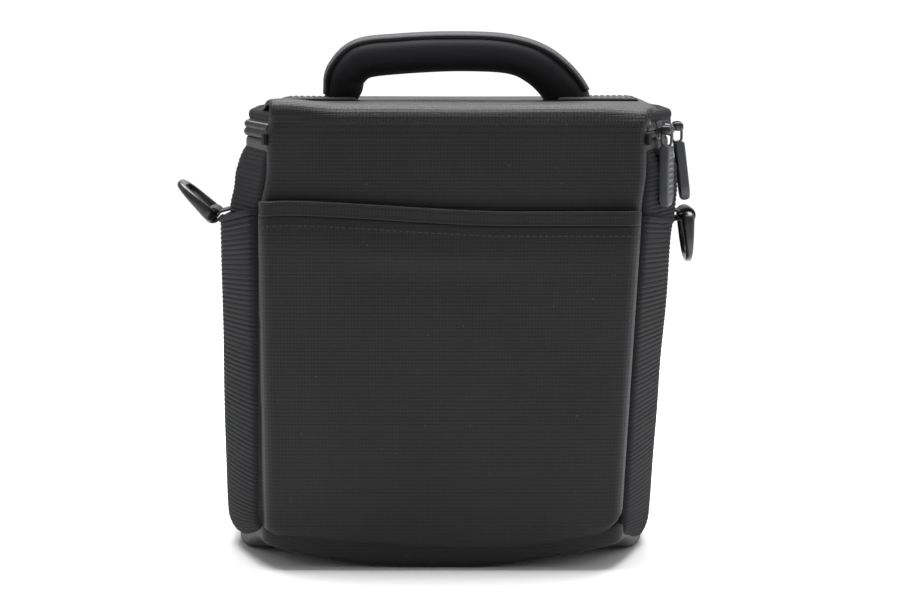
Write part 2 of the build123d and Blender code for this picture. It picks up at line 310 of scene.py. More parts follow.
def wrinkle(a, b, scale, seed):
    """Low waves in two directions: the sum of six sines whose phases come from a seed."""
    rng = np.random.default_rng(seed)
    total = 0
    for _ in range(6):
        ka, kb = rng.uniform(-1, 1, 2) * 2 * np.pi / scale
        total = total + np.sin(a * ka + b * kb + rng.uniform(0, 2 * np.pi))
    return total / 6


print("side wall runs", round(len(side_path(1.0)) * 1.0), "mm in plan")

# %% [markdown]
# All the cloth is black nylon with woven ribs. One node group makes the weave from the sheet's own UV,
# which is in metres, so a rib is as wide on the lid as it is on the pocket. It gives a height for the bump
# and a mask that paints a highlight on the weave's crests, and each cloth sets its own pitch and strength.

# %% Shader helpers and the weave group
def node(tree, kind, inputs=None, **settings):
    """A node with its settings, and the values of its inputs by their names."""
    made = tree.nodes.new(kind)
    for key, value in settings.items():
        setattr(made, key, value)
    for key, value in (inputs or {}).items():
        made.inputs[key].default_value = value
    return made


def maths(tree, operation, a, b=0.0):
    """A maths node of two values, each a number or a socket."""
    made = tree.nodes.new("ShaderNodeMath")
    made.operation = operation
    for socket, value in zip(made.inputs, (a, b)):
        if isinstance(value, bpy.types.NodeSocket):
            tree.links.new(value, socket)
        else:
            socket.default_value = value
    return made.outputs[0]


def new_group(name, inputs, outputs):
    """An empty shader group with named number inputs and outputs."""
    tree = bpy.data.node_groups.new(name, "ShaderNodeTree")
    for label, kind, default in inputs:
        socket = tree.interface.new_socket(name=label, in_out="INPUT", socket_type=kind)
        if default is not None:
            socket.default_value = default
    for label, kind in outputs:
        tree.interface.new_socket(name=label, in_out="OUTPUT", socket_type=kind)
    return tree, tree.nodes.new("NodeGroupInput"), tree.nodes.new("NodeGroupOutput")


def wave(tree, coordinate, pitch, sharp):
    """One ridge for each pitch: the absolute sine of pi times length over pitch, raised to sharp."""
    turn = maths(tree, "MULTIPLY", maths(tree, "DIVIDE", coordinate, pitch), math.pi)
    return maths(tree, "POWER", maths(tree, "ABSOLUTE", maths(tree, "SINE", turn)), sharp)


FLOAT, VECTOR = "NodeSocketFloat", "NodeSocketVector"
weave, given, result = new_group(
    "woven_ribs",
    [("Vector", VECTOR, None), ("Rib Pitch", FLOAT, 0.002), ("Yarn Pitch", FLOAT, 0.0012),
     ("Rib Depth", FLOAT, 1.0), ("Yarn Depth", FLOAT, 0.4)],
    [("Height", FLOAT), ("Crest Highlight", FLOAT), ("Fleck", FLOAT)])
split = weave.nodes.new("ShaderNodeSeparateXYZ")
weave.links.new(given.outputs["Vector"], split.inputs[0])
rib = wave(weave, split.outputs["Y"], given.outputs["Rib Pitch"], 0.7)
yarn = wave(weave, split.outputs["X"], given.outputs["Yarn Pitch"], 0.6)
fine = wave(weave, split.outputs["Y"], maths(weave, "DIVIDE", given.outputs["Yarn Pitch"], 2.2), 0.8)
rib_part = maths(weave, "MULTIPLY", rib, given.outputs["Rib Depth"])
yarn_part = maths(weave, "MULTIPLY", maths(weave, "MULTIPLY", yarn, fine), given.outputs["Yarn Depth"])
weave.links.new(maths(weave, "ADD", rib_part, yarn_part), result.inputs["Height"])
# rib times yarn: a painted highlight on the raised crests of the weave, darker in the hollows between
weave.links.new(maths(weave, "MULTIPLY", rib, yarn), result.inputs["Crest Highlight"])
lint = node(weave, "ShaderNodeTexVoronoi", {"Scale": 150.0}, feature="F1")
weave.links.new(given.outputs["Vector"], lint.inputs["Vector"])
speck = maths(weave, "LESS_THAN", lint.outputs["Distance"], 0.035)
weave.links.new(speck, result.inputs["Fleck"])
print("weave group has", len(weave.nodes), "nodes")

# %% [markdown]
# Wear and dust are the second shared effect. Rubbed cloth and plastic are paler and smoother in soft
# patches, which two scales of noise in Object coordinates give without any seam between pieces.

# %% The soft wear group
wear, given, result = new_group("soft_wear", [("Scale", FLOAT, 40.0), ("Amount", FLOAT, 0.3)],
                                [("Mask", FLOAT), ("Grain", FLOAT)])
place = wear.nodes.new("ShaderNodeTexCoord")
broad = node(wear, "ShaderNodeTexNoise", {"Detail": 4.0})
wear.links.new(place.outputs["Object"], broad.inputs["Vector"])
wear.links.new(given.outputs["Scale"], broad.inputs["Scale"])
grain = node(wear, "ShaderNodeTexNoise", {"Scale": 1800.0, "Detail": 2.0})
wear.links.new(place.outputs["Object"], grain.inputs["Vector"])
lifted = maths(wear, "MULTIPLY", maths(wear, "SUBTRACT", broad.outputs[0], 0.42), 3.0)
held = node(wear, "ShaderNodeClamp")
wear.links.new(lifted, held.inputs[0])
wear.links.new(maths(wear, "MULTIPLY", held.outputs[0], given.outputs["Amount"]), result.inputs["Mask"])
wear.links.new(grain.outputs[0], result.inputs["Grain"])
print("wear group has", len(wear.nodes), "nodes")


# %% [markdown]
# Two functions build every material. Woven cloth takes its pattern from the sheet's UV, and a moulded part
# takes its grain from Object coordinates, so neither slides when a piece moves or bends.

# %% Cloth and moulded materials
def mix_colours(tree, mask, low, high):
    """A colour between two colours by a mask. low may be a colour or a socket."""
    made = node(tree, "ShaderNodeMix", data_type="RGBA")
    tree.links.new(mask, made.inputs[0])
    for socket, value in ((made.inputs[6], low), (made.inputs[7], high)):
        if isinstance(value, bpy.types.NodeSocket):
            tree.links.new(value, socket)
        else:
            socket.default_value = (*value, 1.0)
    return made.outputs[2]


def start_material(name, roughness, **constants):
    """A material with one Principled shader and its constant sockets set."""
    made = bpy.data.materials.new(name)
    made.use_nodes = True
    tree = made.node_tree
    shader = tree.nodes["Principled BSDF"]
    shader.inputs["Roughness"].default_value = roughness
    for key, value in constants.items():
        shader.inputs[key.replace("_", " ")].default_value = value
    return made, tree, shader


def bump(tree, shader, height, strength, distance):
    """A bump of a height socket into the shader's normal, its distance in metres."""
    made = node(tree, "ShaderNodeBump", {"Strength": strength, "Distance": distance})
    tree.links.new(height, made.inputs["Height"])
    tree.links.new(made.outputs[0], shader.inputs["Normal"])


def woven(name, dark, light, rib, yarn, rib_depth, yarn_depth, roughness=0.62, sheen=0.06,
          strength=0.6, worn=0.25, fleck=0.12, shine=0.3):
    """Woven cloth: a painted highlight lifts the colour from dark to light on the weave's crests, wear pales
    it in patches, and lint adds specks.
    """
    made, tree, shader = start_material(name, roughness, Sheen_Weight=sheen, Sheen_Roughness=0.45,
                                        Specular_IOR_Level=shine)
    uv = node(tree, "ShaderNodeUVMap", uv_map="cloth")
    cloth = node(tree, "ShaderNodeGroup", node_tree=weave, inputs={
        "Rib Pitch": rib, "Yarn Pitch": yarn, "Rib Depth": rib_depth, "Yarn Depth": yarn_depth})
    tree.links.new(uv.outputs[0], cloth.inputs["Vector"])
    rubbed = node(tree, "ShaderNodeGroup", {"Scale": 22.0, "Amount": worn}, node_tree=wear)
    # painted highlight: the weave's crests take the light colour and its hollows the dark one
    base = mix_colours(tree, cloth.outputs["Crest Highlight"], dark, light)
    pale = tuple(1.35 * v + 0.004 for v in light)
    base = mix_colours(tree, rubbed.outputs["Mask"], base, pale)
    specks = maths(tree, "MULTIPLY", cloth.outputs["Fleck"], fleck)
    base = mix_colours(tree, specks, base, (0.5, 0.5, 0.5))
    tree.links.new(base, shader.inputs["Base Color"])
    grain = maths(tree, "MULTIPLY", rubbed.outputs["Grain"], 0.35)
    bump(tree, shader, maths(tree, "ADD", cloth.outputs["Height"], grain), strength, 0.00025)
    return made


def moulded(name, dark, light, roughness, grain_depth=0.00003, scale=90.0, worn=0.5, **constants):
    """Plastic, rubber, metal or foam: two colours by the wear mask, roughness to match, fine grain."""
    made, tree, shader = start_material(name, roughness, **constants)
    rubbed = node(tree, "ShaderNodeGroup", {"Scale": scale, "Amount": worn}, node_tree=wear)
    tree.links.new(mix_colours(tree, rubbed.outputs["Mask"], dark, light), shader.inputs["Base Color"])
    rough = node(tree, "ShaderNodeMapRange", {"To Min": roughness, "To Max": max(roughness - 0.12, 0.08)})
    tree.links.new(rubbed.outputs["Mask"], rough.inputs["Value"])
    tree.links.new(rough.outputs[0], shader.inputs["Roughness"])
    bump(tree, shader, rubbed.outputs["Grain"], 0.5, grain_depth)
    return made


# in each woven cloth the second colour is the painted highlight on the crests of the weave
front_nylon = woven("front_nylon", (0.005, 0.005, 0.006), (0.013, 0.013, 0.0145), 0.0016, 0.0014,
                    0.5, 0.6, roughness=0.5, sheen=0.04, shine=0.24)
side_nylon = woven("side_nylon", (0.006, 0.006, 0.007), (0.015, 0.015, 0.017), 0.00195, 0.0009,
                   0.2, 0.4, roughness=0.75, sheen=0.0, shine=0.1)
binding_tape = woven("binding_tape", (0.010, 0.010, 0.011), (0.022, 0.022, 0.024), 0.0009, 0.0007,
                     0.5, 0.6, worn=0.15, fleck=0.0)
grip_knit = woven("grip_knit", (0.007, 0.007, 0.009), (0.013, 0.013, 0.016), 0.0006, 0.0006,
                  0.25, 0.25, roughness=0.62, sheen=0.12, strength=0.3, worn=0.2, fleck=0.1)
strap_web = woven("strap_web", (0.010, 0.010, 0.012), (0.034, 0.034, 0.038), 0.0011, 0.0016,
                  0.8, 0.8, worn=0.2, fleck=0.05)
lining_cloth = woven("lining_cloth", (0.05, 0.05, 0.055), (0.09, 0.09, 0.097), 0.0008, 0.0008,
                     0.4, 0.5, roughness=0.85, sheen=0.4, worn=0.3, fleck=0.02)
hook_pile = woven("hook_pile", (0.02, 0.02, 0.022), (0.07, 0.07, 0.075), 0.0010, 0.0010,
                  1.0, 1.0, roughness=0.9, strength=1.0, worn=0.1, fleck=0.0)
thread = woven("thread", (0.02, 0.02, 0.022), (0.055, 0.055, 0.06), 0.0004, 0.0004, 0.6, 0.3, fleck=0.0)
coil_nylon = moulded("coil_nylon", (0.022, 0.022, 0.024), (0.05, 0.05, 0.054), 0.42)
ring_plastic = moulded("ring_plastic", (0.010, 0.010, 0.011), (0.022, 0.022, 0.024), 0.34,
                       Coat_Weight=0.15, Coat_Roughness=0.3)
pull_rubber = moulded("pull_rubber", (0.042, 0.043, 0.050), (0.068, 0.070, 0.078), 0.5, 0.00005)
slider_paint = moulded("slider_paint", (0.013, 0.013, 0.015), (0.035, 0.035, 0.038), 0.32)
wire_steel = moulded("wire_steel", (0.12, 0.12, 0.13), (0.22, 0.22, 0.23), 0.32, 0.00001, Metallic=1.0)
board_plastic = moulded("board_plastic", (0.05, 0.05, 0.055), (0.09, 0.09, 0.1), 0.5, 0.00004)
print(len(bpy.data.materials), "materials")

# %% [markdown]
# The front and the lid are one piece of cloth on the real bag: it runs up the front, turns over the top
# edge and goes back over the lid to the zip. It could be two panels that meet at the fold, but they would
# part when the lid opens. So it is one sheet carried along a path up and over, with a rounded turn at the
# fold.

# %% Front and lid cloth
FOLD_RADIUS = 8.0
EDGE_RADIUS = 4.0
EDGE_TAIL = 2.0
CLOTH = 1.2
CLOTH_LOW = 14.0  # the cloth's lower edge, inside the base tray
RISE_ROWS, OVER_ROWS, FLAT_COLUMNS = 56, 44, 36
BACK_GAP = 5.0
BACK_RADIUS = 3.5
LID_WAVE = 0.45
LID_WAVE_LONG = 70
BELLY = 1.3
BELLY_FROM, BELLY_OVER = 100, 92
FOLD_SEAM = 3.6  # a stitched seam this far below the fold, on the right


def lid_half_width(y):
    """Half the width of the lid cloth at a depth: front half to side half and in again to the back."""
    front = ease((bend_front_y - y) / (bend_front_y - front_y) * 0.9)
    back = np.clip((y - bend_back_y) / (back_y - bend_back_y), 0, 1)
    corner = np.clip((y - (back_y - 13)) / 12, 0, 1)
    width = side_x - 6.6 - (side_x - 6.6 - front_half) * front - 1.8 * back ** 1.5
    return width - 6.0 * (1 - np.sqrt(1 - corner ** 2 * 0.98))


def lid_crown(x, y=0.0):
    """The lid across: high in the middle, falling away to its sides, with its front left corner turned up
    and its front right corner turned down."""
    corners = 2.6 * ease((-x - 46) / 28) - 1.2 * ease((x - 58) / 20)
    return 1.7 - 3.4 * ease((np.abs(x) - 80) / 8) + corners * ease((-30 - y) / 24)


def lid_ripple(x, run):
    """The lid's own low waves, from the width and from height plus depth, in millimetres."""
    return LID_WAVE * wrinkle(x, run, LID_WAVE_LONG, 3)


turn = np.linspace(0, np.pi / 2, 13)
rise = np.stack([np.full(RISE_ROWS, front_y),
                 np.linspace(CLOTH_LOW, lid_top - FOLD_RADIUS, RISE_ROWS)], axis=-1)
fold = np.stack([front_y + FOLD_RADIUS * (1 - np.cos(turn)),
                 lid_top - FOLD_RADIUS * (1 - np.sin(turn))], axis=-1)
over = np.stack([np.linspace(front_y + FOLD_RADIUS, back_y - BACK_GAP, OVER_ROWS),
                 np.full(OVER_ROWS, lid_top)], axis=-1)
drop = np.stack([back_y - BACK_GAP + BACK_RADIUS * np.sin(turn),
                 lid_top - BACK_RADIUS * (1 - np.cos(turn))], axis=-1)
profile = np.concatenate([rise, fold[1:], over[1:], drop[1:]])
slope = unit(np.gradient(profile, axis=0))
outward = np.stack([-slope[:, 1], slope[:, 0]], axis=-1)
half_row = np.where(profile[:, 0] > front_y + FOLD_RADIUS, lid_half_width(profile[:, 0]), front_half)
flat_part = np.linspace(0, 1, FLAT_COLUMNS)
curl = np.linspace(0, np.pi / 2, 7)[1:]


def front_section(half):
    """Across the sheet from the middle: flat, then a quarter turn, then a short tail. Gives the width
    and the depth below the sheet at each column."""
    x = np.concatenate([flat_part * (half - EDGE_RADIUS), half - EDGE_RADIUS + EDGE_RADIUS * np.sin(curl),
                        [half]])
    depth = np.concatenate([np.zeros(FLAT_COLUMNS), EDGE_RADIUS * (1 - np.cos(curl)),
                            [EDGE_RADIUS + EDGE_TAIL]])
    return x, depth


width_depth = np.array([front_section(half) for half in half_row])
x_right, depth_right = width_depth[:, 0], width_depth[:, 1]
x = np.concatenate([-x_right[:, :0:-1], x_right], axis=1)
depth = np.concatenate([depth_right[:, :0:-1], depth_right], axis=1)
top_share = ease((profile[:, 1] - (lid_top - 6)) / 6)[:, None]
depth = depth * (1 - 0.6 * top_share)
height_share = np.clip((profile[:, 1:] - BELLY_FROM) / BELLY_OVER, 0, 1)
belly = BELLY * (1 - (x / front_half) ** 4) * np.sin(height_share * np.pi)
belly = belly * (1 - top_share) + top_share * lid_crown(x, profile[:, :1])
belly = belly + lid_ripple(x, profile[:, 1:] + profile[:, :1])
seam = np.exp(-((profile[:, 1:] - (lid_top - FOLD_SEAM)) / 0.7) ** 2)
seam = seam * (profile[:, :1] < front_y + FOLD_RADIUS)
belly = belly - 0.22 * seam * ease((x - 10) / 30)
sheet = spread(x, profile[:, :1] + outward[:, :1] * (belly - depth),
               profile[:, 1:] + outward[:, 1:] * (belly - depth))
run_up = np.cumsum(np.linalg.norm(np.gradient(profile, axis=0), axis=1))[:, None]
cloth_uv = spread(x[:, ::-1], run_up).reshape(-1, 2) * MM
front_lid_cloth = thick_sheet("front_lid_cloth", settle(sheet)[:, ::-1], CLOTH, front_nylon,
                              uv=cloth_uv, outward=(0, -0.5, 0.5))
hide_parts("front_panel", "lid_top_panel")
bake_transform(front_lid_cloth)
print("front and lid cloth:", len(front_lid_cloth.data.vertices), "points")

# %% [markdown]
# The side and back walls are ribbed cloth. The ribs are woven thick enough to show at the edge of the bag,
# so they are real ridges of the surface and not only a pattern. A row of points costs memory, so the rows
# are close only where the ribs can be seen, above the pockets.

# %% Ribbed side and back walls
RIB_PITCH = 1.95
RIB_HEIGHT = 0.42


def rib_rows(low, high, fine_from, coarse_step=4.0):
    """Heights for a ribbed wall: six rows to a rib above fine_from, and a few rows below it."""
    coarse = np.arange(low, fine_from, coarse_step) if fine_from > low else np.empty(0)
    share = np.array([0.0, 0.1, 0.28, 0.5, 0.72, 0.9])
    start = max(fine_from, low)
    ribs = np.arange(math.floor(start / RIB_PITCH), math.ceil(high / RIB_PITCH))
    fine = ((ribs[:, None] + share) * RIB_PITCH).ravel()
    fine = fine[(fine > start) & (fine < high)]
    return np.concatenate([coarse, [start], fine, [high]])


def ribs_at(z):
    """Height of the ribs: the absolute sine of pi z over the pitch, to the power 0.6, times the height."""
    return RIB_HEIGHT * np.abs(np.sin(np.pi * z / RIB_PITCH)) ** 0.6


def wall_sheet(path, z, out, tuck_ends=2.4, tuck_low=1.5, tuck_high=1.5, low_reach=5.0, ribs=True):
    """A wall carried up from a plan path: each point moves out along the plan normal by out, less a
    quarter-circle tuck near both ends and both edges, plus the ribs."""
    normal = plan_normals(path)
    length = np.linspace(0, 1, len(path)) * np.sum(np.linalg.norm(np.diff(path, axis=0), axis=1))
    near_end = np.minimum(length, length[-1] - length)[:, None]
    near_low, near_high = (z - z[0])[None], (z[-1] - z)[None]

    def tuck(near, reach, deep):
        t = np.clip(1 - near / reach, 0, 1)
        return deep * (1 - np.sqrt(1 - t ** 2))

    move = out - tuck(near_end, 5.0, tuck_ends) - tuck(near_low, low_reach, tuck_low)
    move = move - tuck(near_high, 3.0, tuck_high)
    if ribs:
        move = move + ribs_at(z)[None] * np.clip(near_end / 3.0, 0, 1)
    p = np.empty((len(path), len(z), 3))
    p[..., :2] = path[:, None] + normal[:, None] * move[..., None]
    p[..., 2] = z
    return p


mirror_x = np.array([-1.0, 1.0, 1.0])
for side, sign, fullness in (("right", 1, 1.0), ("left", -1, -1.3)):
    path = side_path(2.0)
    z = rib_rows(10.0, binding_low + 0.6, side_pocket_top - 8)
    y = path[:, 1][:, None]
    across = np.sin(np.clip((y - front_y) / (back_y - front_y), 0, 1) * np.pi) ** 0.5
    shoulder = 1 - (1 - np.clip((binding_low + 1 - z) / 14, 0, 1)) ** 2
    bulge = (5.0 * shoulder - 2.4) * (0.45 + 0.55 * ease((z - 120) / 25))
    bulge = (bulge + fullness * ease((z - 130) / 15) * ease((164 - z) / 10))[None] * across
    bulge = bulge + 0.35 * wrinkle(y, z[None], 45, 11 + sign) * ease((z - 140) / 8)
    sheet = wall_sheet(path, z, bulge)
    if sign < 0:
        sheet = sheet * mirror_x
    wall = thick_sheet(f"{side}_wall_cloth", settle(sheet), CLOTH, side_nylon, outward=(sign, 0, 0))
    dress(wall, "black_ripstop", "bag", f"{side}_panel")
back_path = rounded_path([(back_half + 1, back_y - 9), (back_half, back_y), (-back_half, back_y),
                          (-back_half - 1, back_y - 9)], (6, 6), 2.5)
z = rib_rows(10.0, binding_low + 0.6, 10.0)
level = np.sin(np.clip((z - 10) / (binding_low - 10), 0, 1) * np.pi)[None] ** 0.6
x = back_path[:, 0][:, None]
hump = -0.6 + 1.6 * level * (1 - np.clip(np.abs(x) / back_half, 0, 1) ** 4)
hump = hump + 0.4 * wrinkle(x, z[None], 80, 5)
back_wall = thick_sheet("back_wall_cloth", settle(wall_sheet(back_path, z, hump)), CLOTH, side_nylon,
                        outward=(0, 1, 0))
dress(back_wall, "black_ripstop", "bag", "back_panel")

# %% [markdown]
# The base is a shallow cloth tray with soft lower corners. Its middle and back rest on the table, and its
# front edge rises towards both corners, where the bag is slack. It stands a little out from the front.

# %% Base tray
TRAY_TOP = 15.0
TRAY_RADIUS = 3.5
TRAY_REACH = 2.6


def plan_loop(step, inset=0.0):
    """The whole bag in plan, anticlockwise from the middle of the front, drawn in by an inset."""
    f, s, b = front_half - inset, side_x - inset, back_half - inset
    low, high = front_y - TRAY_REACH + inset, back_y - inset
    corners = [(0, low), (f, low), (s, bend_front_y), (s, bend_back_y), (b, high), (-b, high),
               (-s, bend_back_y), (-s, bend_front_y), (-f, low), (0, low)]
    return rounded_path(corners, (7, 40, 60, 13, 13, 60, 40, 7), step)[:-1]


def corner_lift(x, y):
    """How far the base's front edge rises from the table: a power of the distance from the middle."""
    right = 9.4 * np.clip((x - 10) / 65, 0, 1.1) ** 1.5
    left = 10.2 * np.clip((-x - 10) / 70, 0, 1.1) ** 2.2
    return (right + left) * ease((-20 - y) / 38)


loop = plan_loop(2.5)
turn = np.linspace(0, np.pi / 2, 10)
inward = np.concatenate([[60, 30, 18], TRAY_RADIUS * (1 - np.sin(turn)), [0.0, 0.3]])
height = np.concatenate([[0, 0, 0], TRAY_RADIUS * (1 - np.cos(turn)), [TRAY_TOP - 2, TRAY_TOP]])


def tray_grid(offset):
    """The tray as rings from the middle of the base to its rim, moved in by an offset all over."""
    normal = plan_normals(np.concatenate([loop[-1:], loop, loop[:1]]))[1:-1]
    shrink = np.clip(inward + offset, 0, 60)
    ring = loop[:, None] - normal[:, None] * np.minimum(shrink, 57)[None, :, None]
    ring[:, 0] = 0.0
    p = np.concatenate([ring, np.broadcast_to(height + offset, ring.shape[:2])[..., None]], axis=-1)
    near_rim = 1 - np.clip((p[..., 2] - offset) / TRAY_TOP, 0, 1) * 0.7
    p[..., 2] += corner_lift(p[..., 0], p[..., 1]) * near_rim
    return settle(p)


outer_tray, inner_tray = tray_grid(0.0), tray_grid(1.4)
count = outer_tray.shape[0] * outer_tray.shape[1]
rows, columns = outer_tray.shape[:2]
skin = grid_quads(rows, columns, wrap_rows=True)
inside = grid_quads(rows, columns, wrap_rows=True, start=count)[:, ::-1]
rim = np.arange(rows) * columns + columns - 1
rim_next = np.roll(rim, -1)
edge = np.stack([rim, rim_next, rim_next + count, rim + count], axis=-1)
tray_points = np.concatenate([outer_tray.reshape(-1, 3), inner_tray.reshape(-1, 3)])
tray_uv = tray_points[:, [0, 1]] * MM + tray_points[:, 2:] * MM
base_tray = mesh_piece("base_tray", tray_points, np.concatenate([skin, inside, edge])[:, ::-1], tray_uv,
                       front_nylon, weld=0.05)
dress(base_tray, "black_ripstop", "bag", "base_panel")
print("base tray:", len(base_tray.data.polygons), "faces")

# %% [markdown]
# The front slip pocket is a padded panel sewn down at its sides and base. Its outline is a gentle curve at
# the base with round corners, its mouth sags in the middle, and its face bellies out just below the hem,
# which is what catches the light on the real bag.

# %% Front pocket
POCKET_DEEP = 6.6
POCKET_EDGE = 5.5


def pocket_mouth(x):
    """Height of the mouth across the pocket: level on the right, rising to the left corner."""
    return pocket_top - 5.1 + 4.4 * ease((30 - x) / 105) - 0.6 * ease((-x - 66) / 12)


def pocket_floor(x, half):
    """Height of the lower seam: a shallow curve, with a quarter ellipse at each corner."""
    u = np.clip(x / half, -1, 1)
    bow = 7.6 + 5.4 * np.clip(0.12 - u, 0, 2) ** 1.7 + 13.7 * np.clip(u - 0.12, 0, 1) ** 2.7
    corner = 9.0 * (1 - np.sqrt(1 - np.clip((np.abs(u) - 0.86) / 0.14, 0, 1) ** 2 * 0.98))
    return bow + corner


u = np.concatenate([-1 + 0.1 * (1 - np.cos(np.linspace(0, np.pi / 2, 12)))[:-1],
                    np.linspace(-0.9, 0.9, 74), 1 - 0.1 * (1 - np.cos(np.linspace(np.pi / 2, 0, 12)))[1:]])
v = np.concatenate([0.06 * (1 - np.cos(np.linspace(0, np.pi / 2, 10)))[:-1], np.linspace(0.06, 1, 84)])
x = (front_half + 0.2) * u[:, None] * np.ones_like(v)
base_line, mouth = pocket_floor(x, front_half), pocket_mouth(x)
z = base_line + (mouth - base_line) * v
x = x - 2.4 * np.clip(-u[:, None], 0, 1) ** 2 * np.clip(1 - z / SQUEEZE_TOP, 0, 1)
away = np.minimum((front_half + 0.2) - np.abs(x), (z - base_line) * 1.2)
edge_turn = 1 - np.sqrt(1 - np.clip(1 - away / POCKET_EDGE, 0, 1) ** 2)
below = mouth - z
face = POCKET_DEEP + 1.3 * (1 - u[:, None] ** 4) * np.sin(np.clip(v, 0, 1) * np.pi) ** 0.5
face = face + 1.6 * np.exp(-((below - 13) / 7) ** 2) * np.exp(-((x + 6) / 42) ** 2)
face = face - 1.2 * np.exp(-(below / 6) ** 2) * (1 - 0.6 * np.exp(-(x / 45) ** 2))
face = face + 0.35 * wrinkle(x, z, 60, 21) * (1 - edge_turn)
y = front_y - face * (1 - edge_turn) + 0.4
front_pocket = closed_sheet("front_pocket_cloth", settle(np.stack([x, y, z], axis=-1)),
                            settle(np.stack([x * 0.985, y + 1.4, np.maximum(z, base_line + 1.2)], axis=-1)),
                            front_nylon, uv=np.stack([x, z], axis=-1).reshape(-1, 2) * MM)
dress(front_pocket, "black_ripstop", "bag", "front_pocket_panel", "front_pocket_gusset")
print("front pocket:", len(front_pocket.data.vertices), "points")


# %% [markdown]
# A hem is the pocket's edge folded back on itself and sewn down. It stands only a thread's thickness
# proud, so it is a thin band carried along the mouth with a round upper edge, and a row of stitches
# holds its lower edge. A stitch is a tiny capsule, and the whole row is one mesh.

# %% Hems and stitches
def stitches(name, centres, outward_way, body, pitch=2.6, length=1.7, radius=0.2):
    """Capsules laid along a path, one to each pitch: rings of five points at five stations, raised by a
    fifth of their radius."""
    run = running_length(centres)
    at = np.arange(pitch / 2, run[-1], pitch)
    along = np.gradient(centres, axis=0)
    spot, way, out = (resample(a, run, at) for a in (centres, along, outward_way))
    way, out = unit(way), unit(out)
    across = np.cross(way, out)
    station = np.array([-0.5, -0.42, 0.0, 0.42, 0.5]) * length
    girth = np.array([0.0, 0.75, 1.0, 0.75, 0.0]) * radius
    angle = np.arange(5) * 2 * np.pi / 5
    ring = (way[:, None, None] * station[None, :, None, None]
            + across[:, None, None] * (girth[:, None] * np.cos(angle))[None, ..., None]
            + out[:, None, None] * (girth[:, None] * np.sin(angle) + radius * 0.2)[None, ..., None])
    points = spot[:, None, None] + ring
    quads = grid_quads(5, 5, wrap_columns=True)
    quads = (quads[None] + 25 * np.arange(len(spot))[:, None, None]).reshape(-1, 4)
    uv = np.zeros((len(spot) * 25, 2))
    piece = mesh_piece(name, points.reshape(-1, 3), quads, uv, thread, weld=0.002)
    dress(piece, "binding", body)
    return piece


def band(name, line, outward_way, down, height, thickness, material):
    """A folded band: a thin rounded section carried along a line, hanging from it by its height."""
    section = oval(14, height / 2 + 0.3, thickness / 2, 5) - [height / 2 - 0.3, 0]
    return carried(name, line, unit(down), unit(outward_way), section, material)


face_grid = settle(np.stack([x, y, z], axis=-1))
column = len(v) - 1
mouth_line = face_grid[2:-2, column] + [0, -0.25, 0]
mouth_down = face_grid[2:-2, column - 4] - face_grid[2:-2, column]
out_front = np.broadcast_to([0.0, -1.0, 0.0], mouth_line.shape)
hem = band("front_pocket_hem_band", mouth_line + [0, 0.35, 0], out_front, mouth_down, 5.6, 1.3, front_nylon)
dress(hem, "black_ripstop", "bag", "front_pocket_hem")
stitch_line = mouth_line + unit(mouth_down) * 4.6 + [0, -0.35, 0]
stitches("front_pocket_stitches", stitch_line, out_front, "bag")
print("hem length", round(running_length(mouth_line)[-1]), "mm")

# %% [markdown]
# Each side pocket stands off its wall from the front seam to the back seam. Its mouth slopes down from the
# front, and its ribs run level, so at the edge of the bag they show as small steps.

# %% Side pockets
SIDE_POCKETS = (  # side, its sign, how far it stands out, its lower edge, the rise of its mouth in front
    ("left", -1, -1.1, 4.7, 8.0), ("right", 1, -3.6, 1.6, 5.0))
for side, sign, out_by, low_edge, rise_front in SIDE_POCKETS:
    path = side_path(2.2, front_inset=0.5)
    y = path[:, 1][:, None]
    z = rib_rows(low_edge, side_pocket_top, low_edge)
    mouth_rise = rise_front * np.clip((-y - 2) / 55, 0, 1) ** 1.2
    share = ((z - z[0]) / (z[-1] - z[0]))[None]
    reach = np.sin(np.clip((y - front_y) / (back_y - front_y), 0, 1) * np.pi) ** 0.35
    stand = 1.3 + (side_pocket_x - side_x - 1.3 + out_by) * reach
    fullness = 0.9 + 0.1 * ease(share / 0.15)
    creases = 0.55 * wrinkle(y * 0.6, z[None], 38, 40 + sign) * (0.3 + 0.7 * reach)
    sheet = wall_sheet(path, z, stand * fullness + creases - 0.5, tuck_ends=1.6, tuck_low=7.0, tuck_high=0.0,
                       low_reach=11.0)
    sheet[..., 2] += mouth_rise * share ** 3
    if sign < 0:
        sheet = sheet * mirror_x
    sheet[..., 2] += 10.0 * np.clip((-y - 15) / 42, 0, 1) ** 1.5 * (1 - share) ** 10
    grid = settle(sheet)
    pocket = thick_sheet(f"{side}_pocket_cloth", grid, CLOTH, side_nylon, outward=(sign, 0, 0))
    dress(pocket, "black_ripstop", "bag", f"{side}_pocket_panel")
    edge_line = grid[:, -1]
    way_out = plan_normals(path)
    way_out = spread(way_out[:, 0] * sign, way_out[:, 1], 0)
    down = grid[:, -8] - edge_line
    hem = band(f"{side}_pocket_hem_band", edge_line, way_out, down, 1.8, 1.5, side_nylon)
    dress(hem, "binding", "bag", f"{side}_pocket_hem")
    line = grid[1:-1, -14] + way_out[1:-1] * 0.05
    stitches(f"{side}_pocket_stitches", line, way_out[1:-1], "bag")
print("side pockets done")

# %% [markdown]
# A coil zip is two long spirals of nylon thread that lock together. Each half is drawn as a real spiral: a
# point turning round a line that runs along the bag, with a thin tube round it. A rounded binding covers the
# tape below, and a fat rolled skirt sits over the upper half, as the lid's edge does on the real bag.

# %% Zip coils, binding and lid skirt
COIL_RADIUS = 1.15
COIL_THREAD = 0.56
COIL_PITCH = 2.6
ZIP_INSET = 1.8


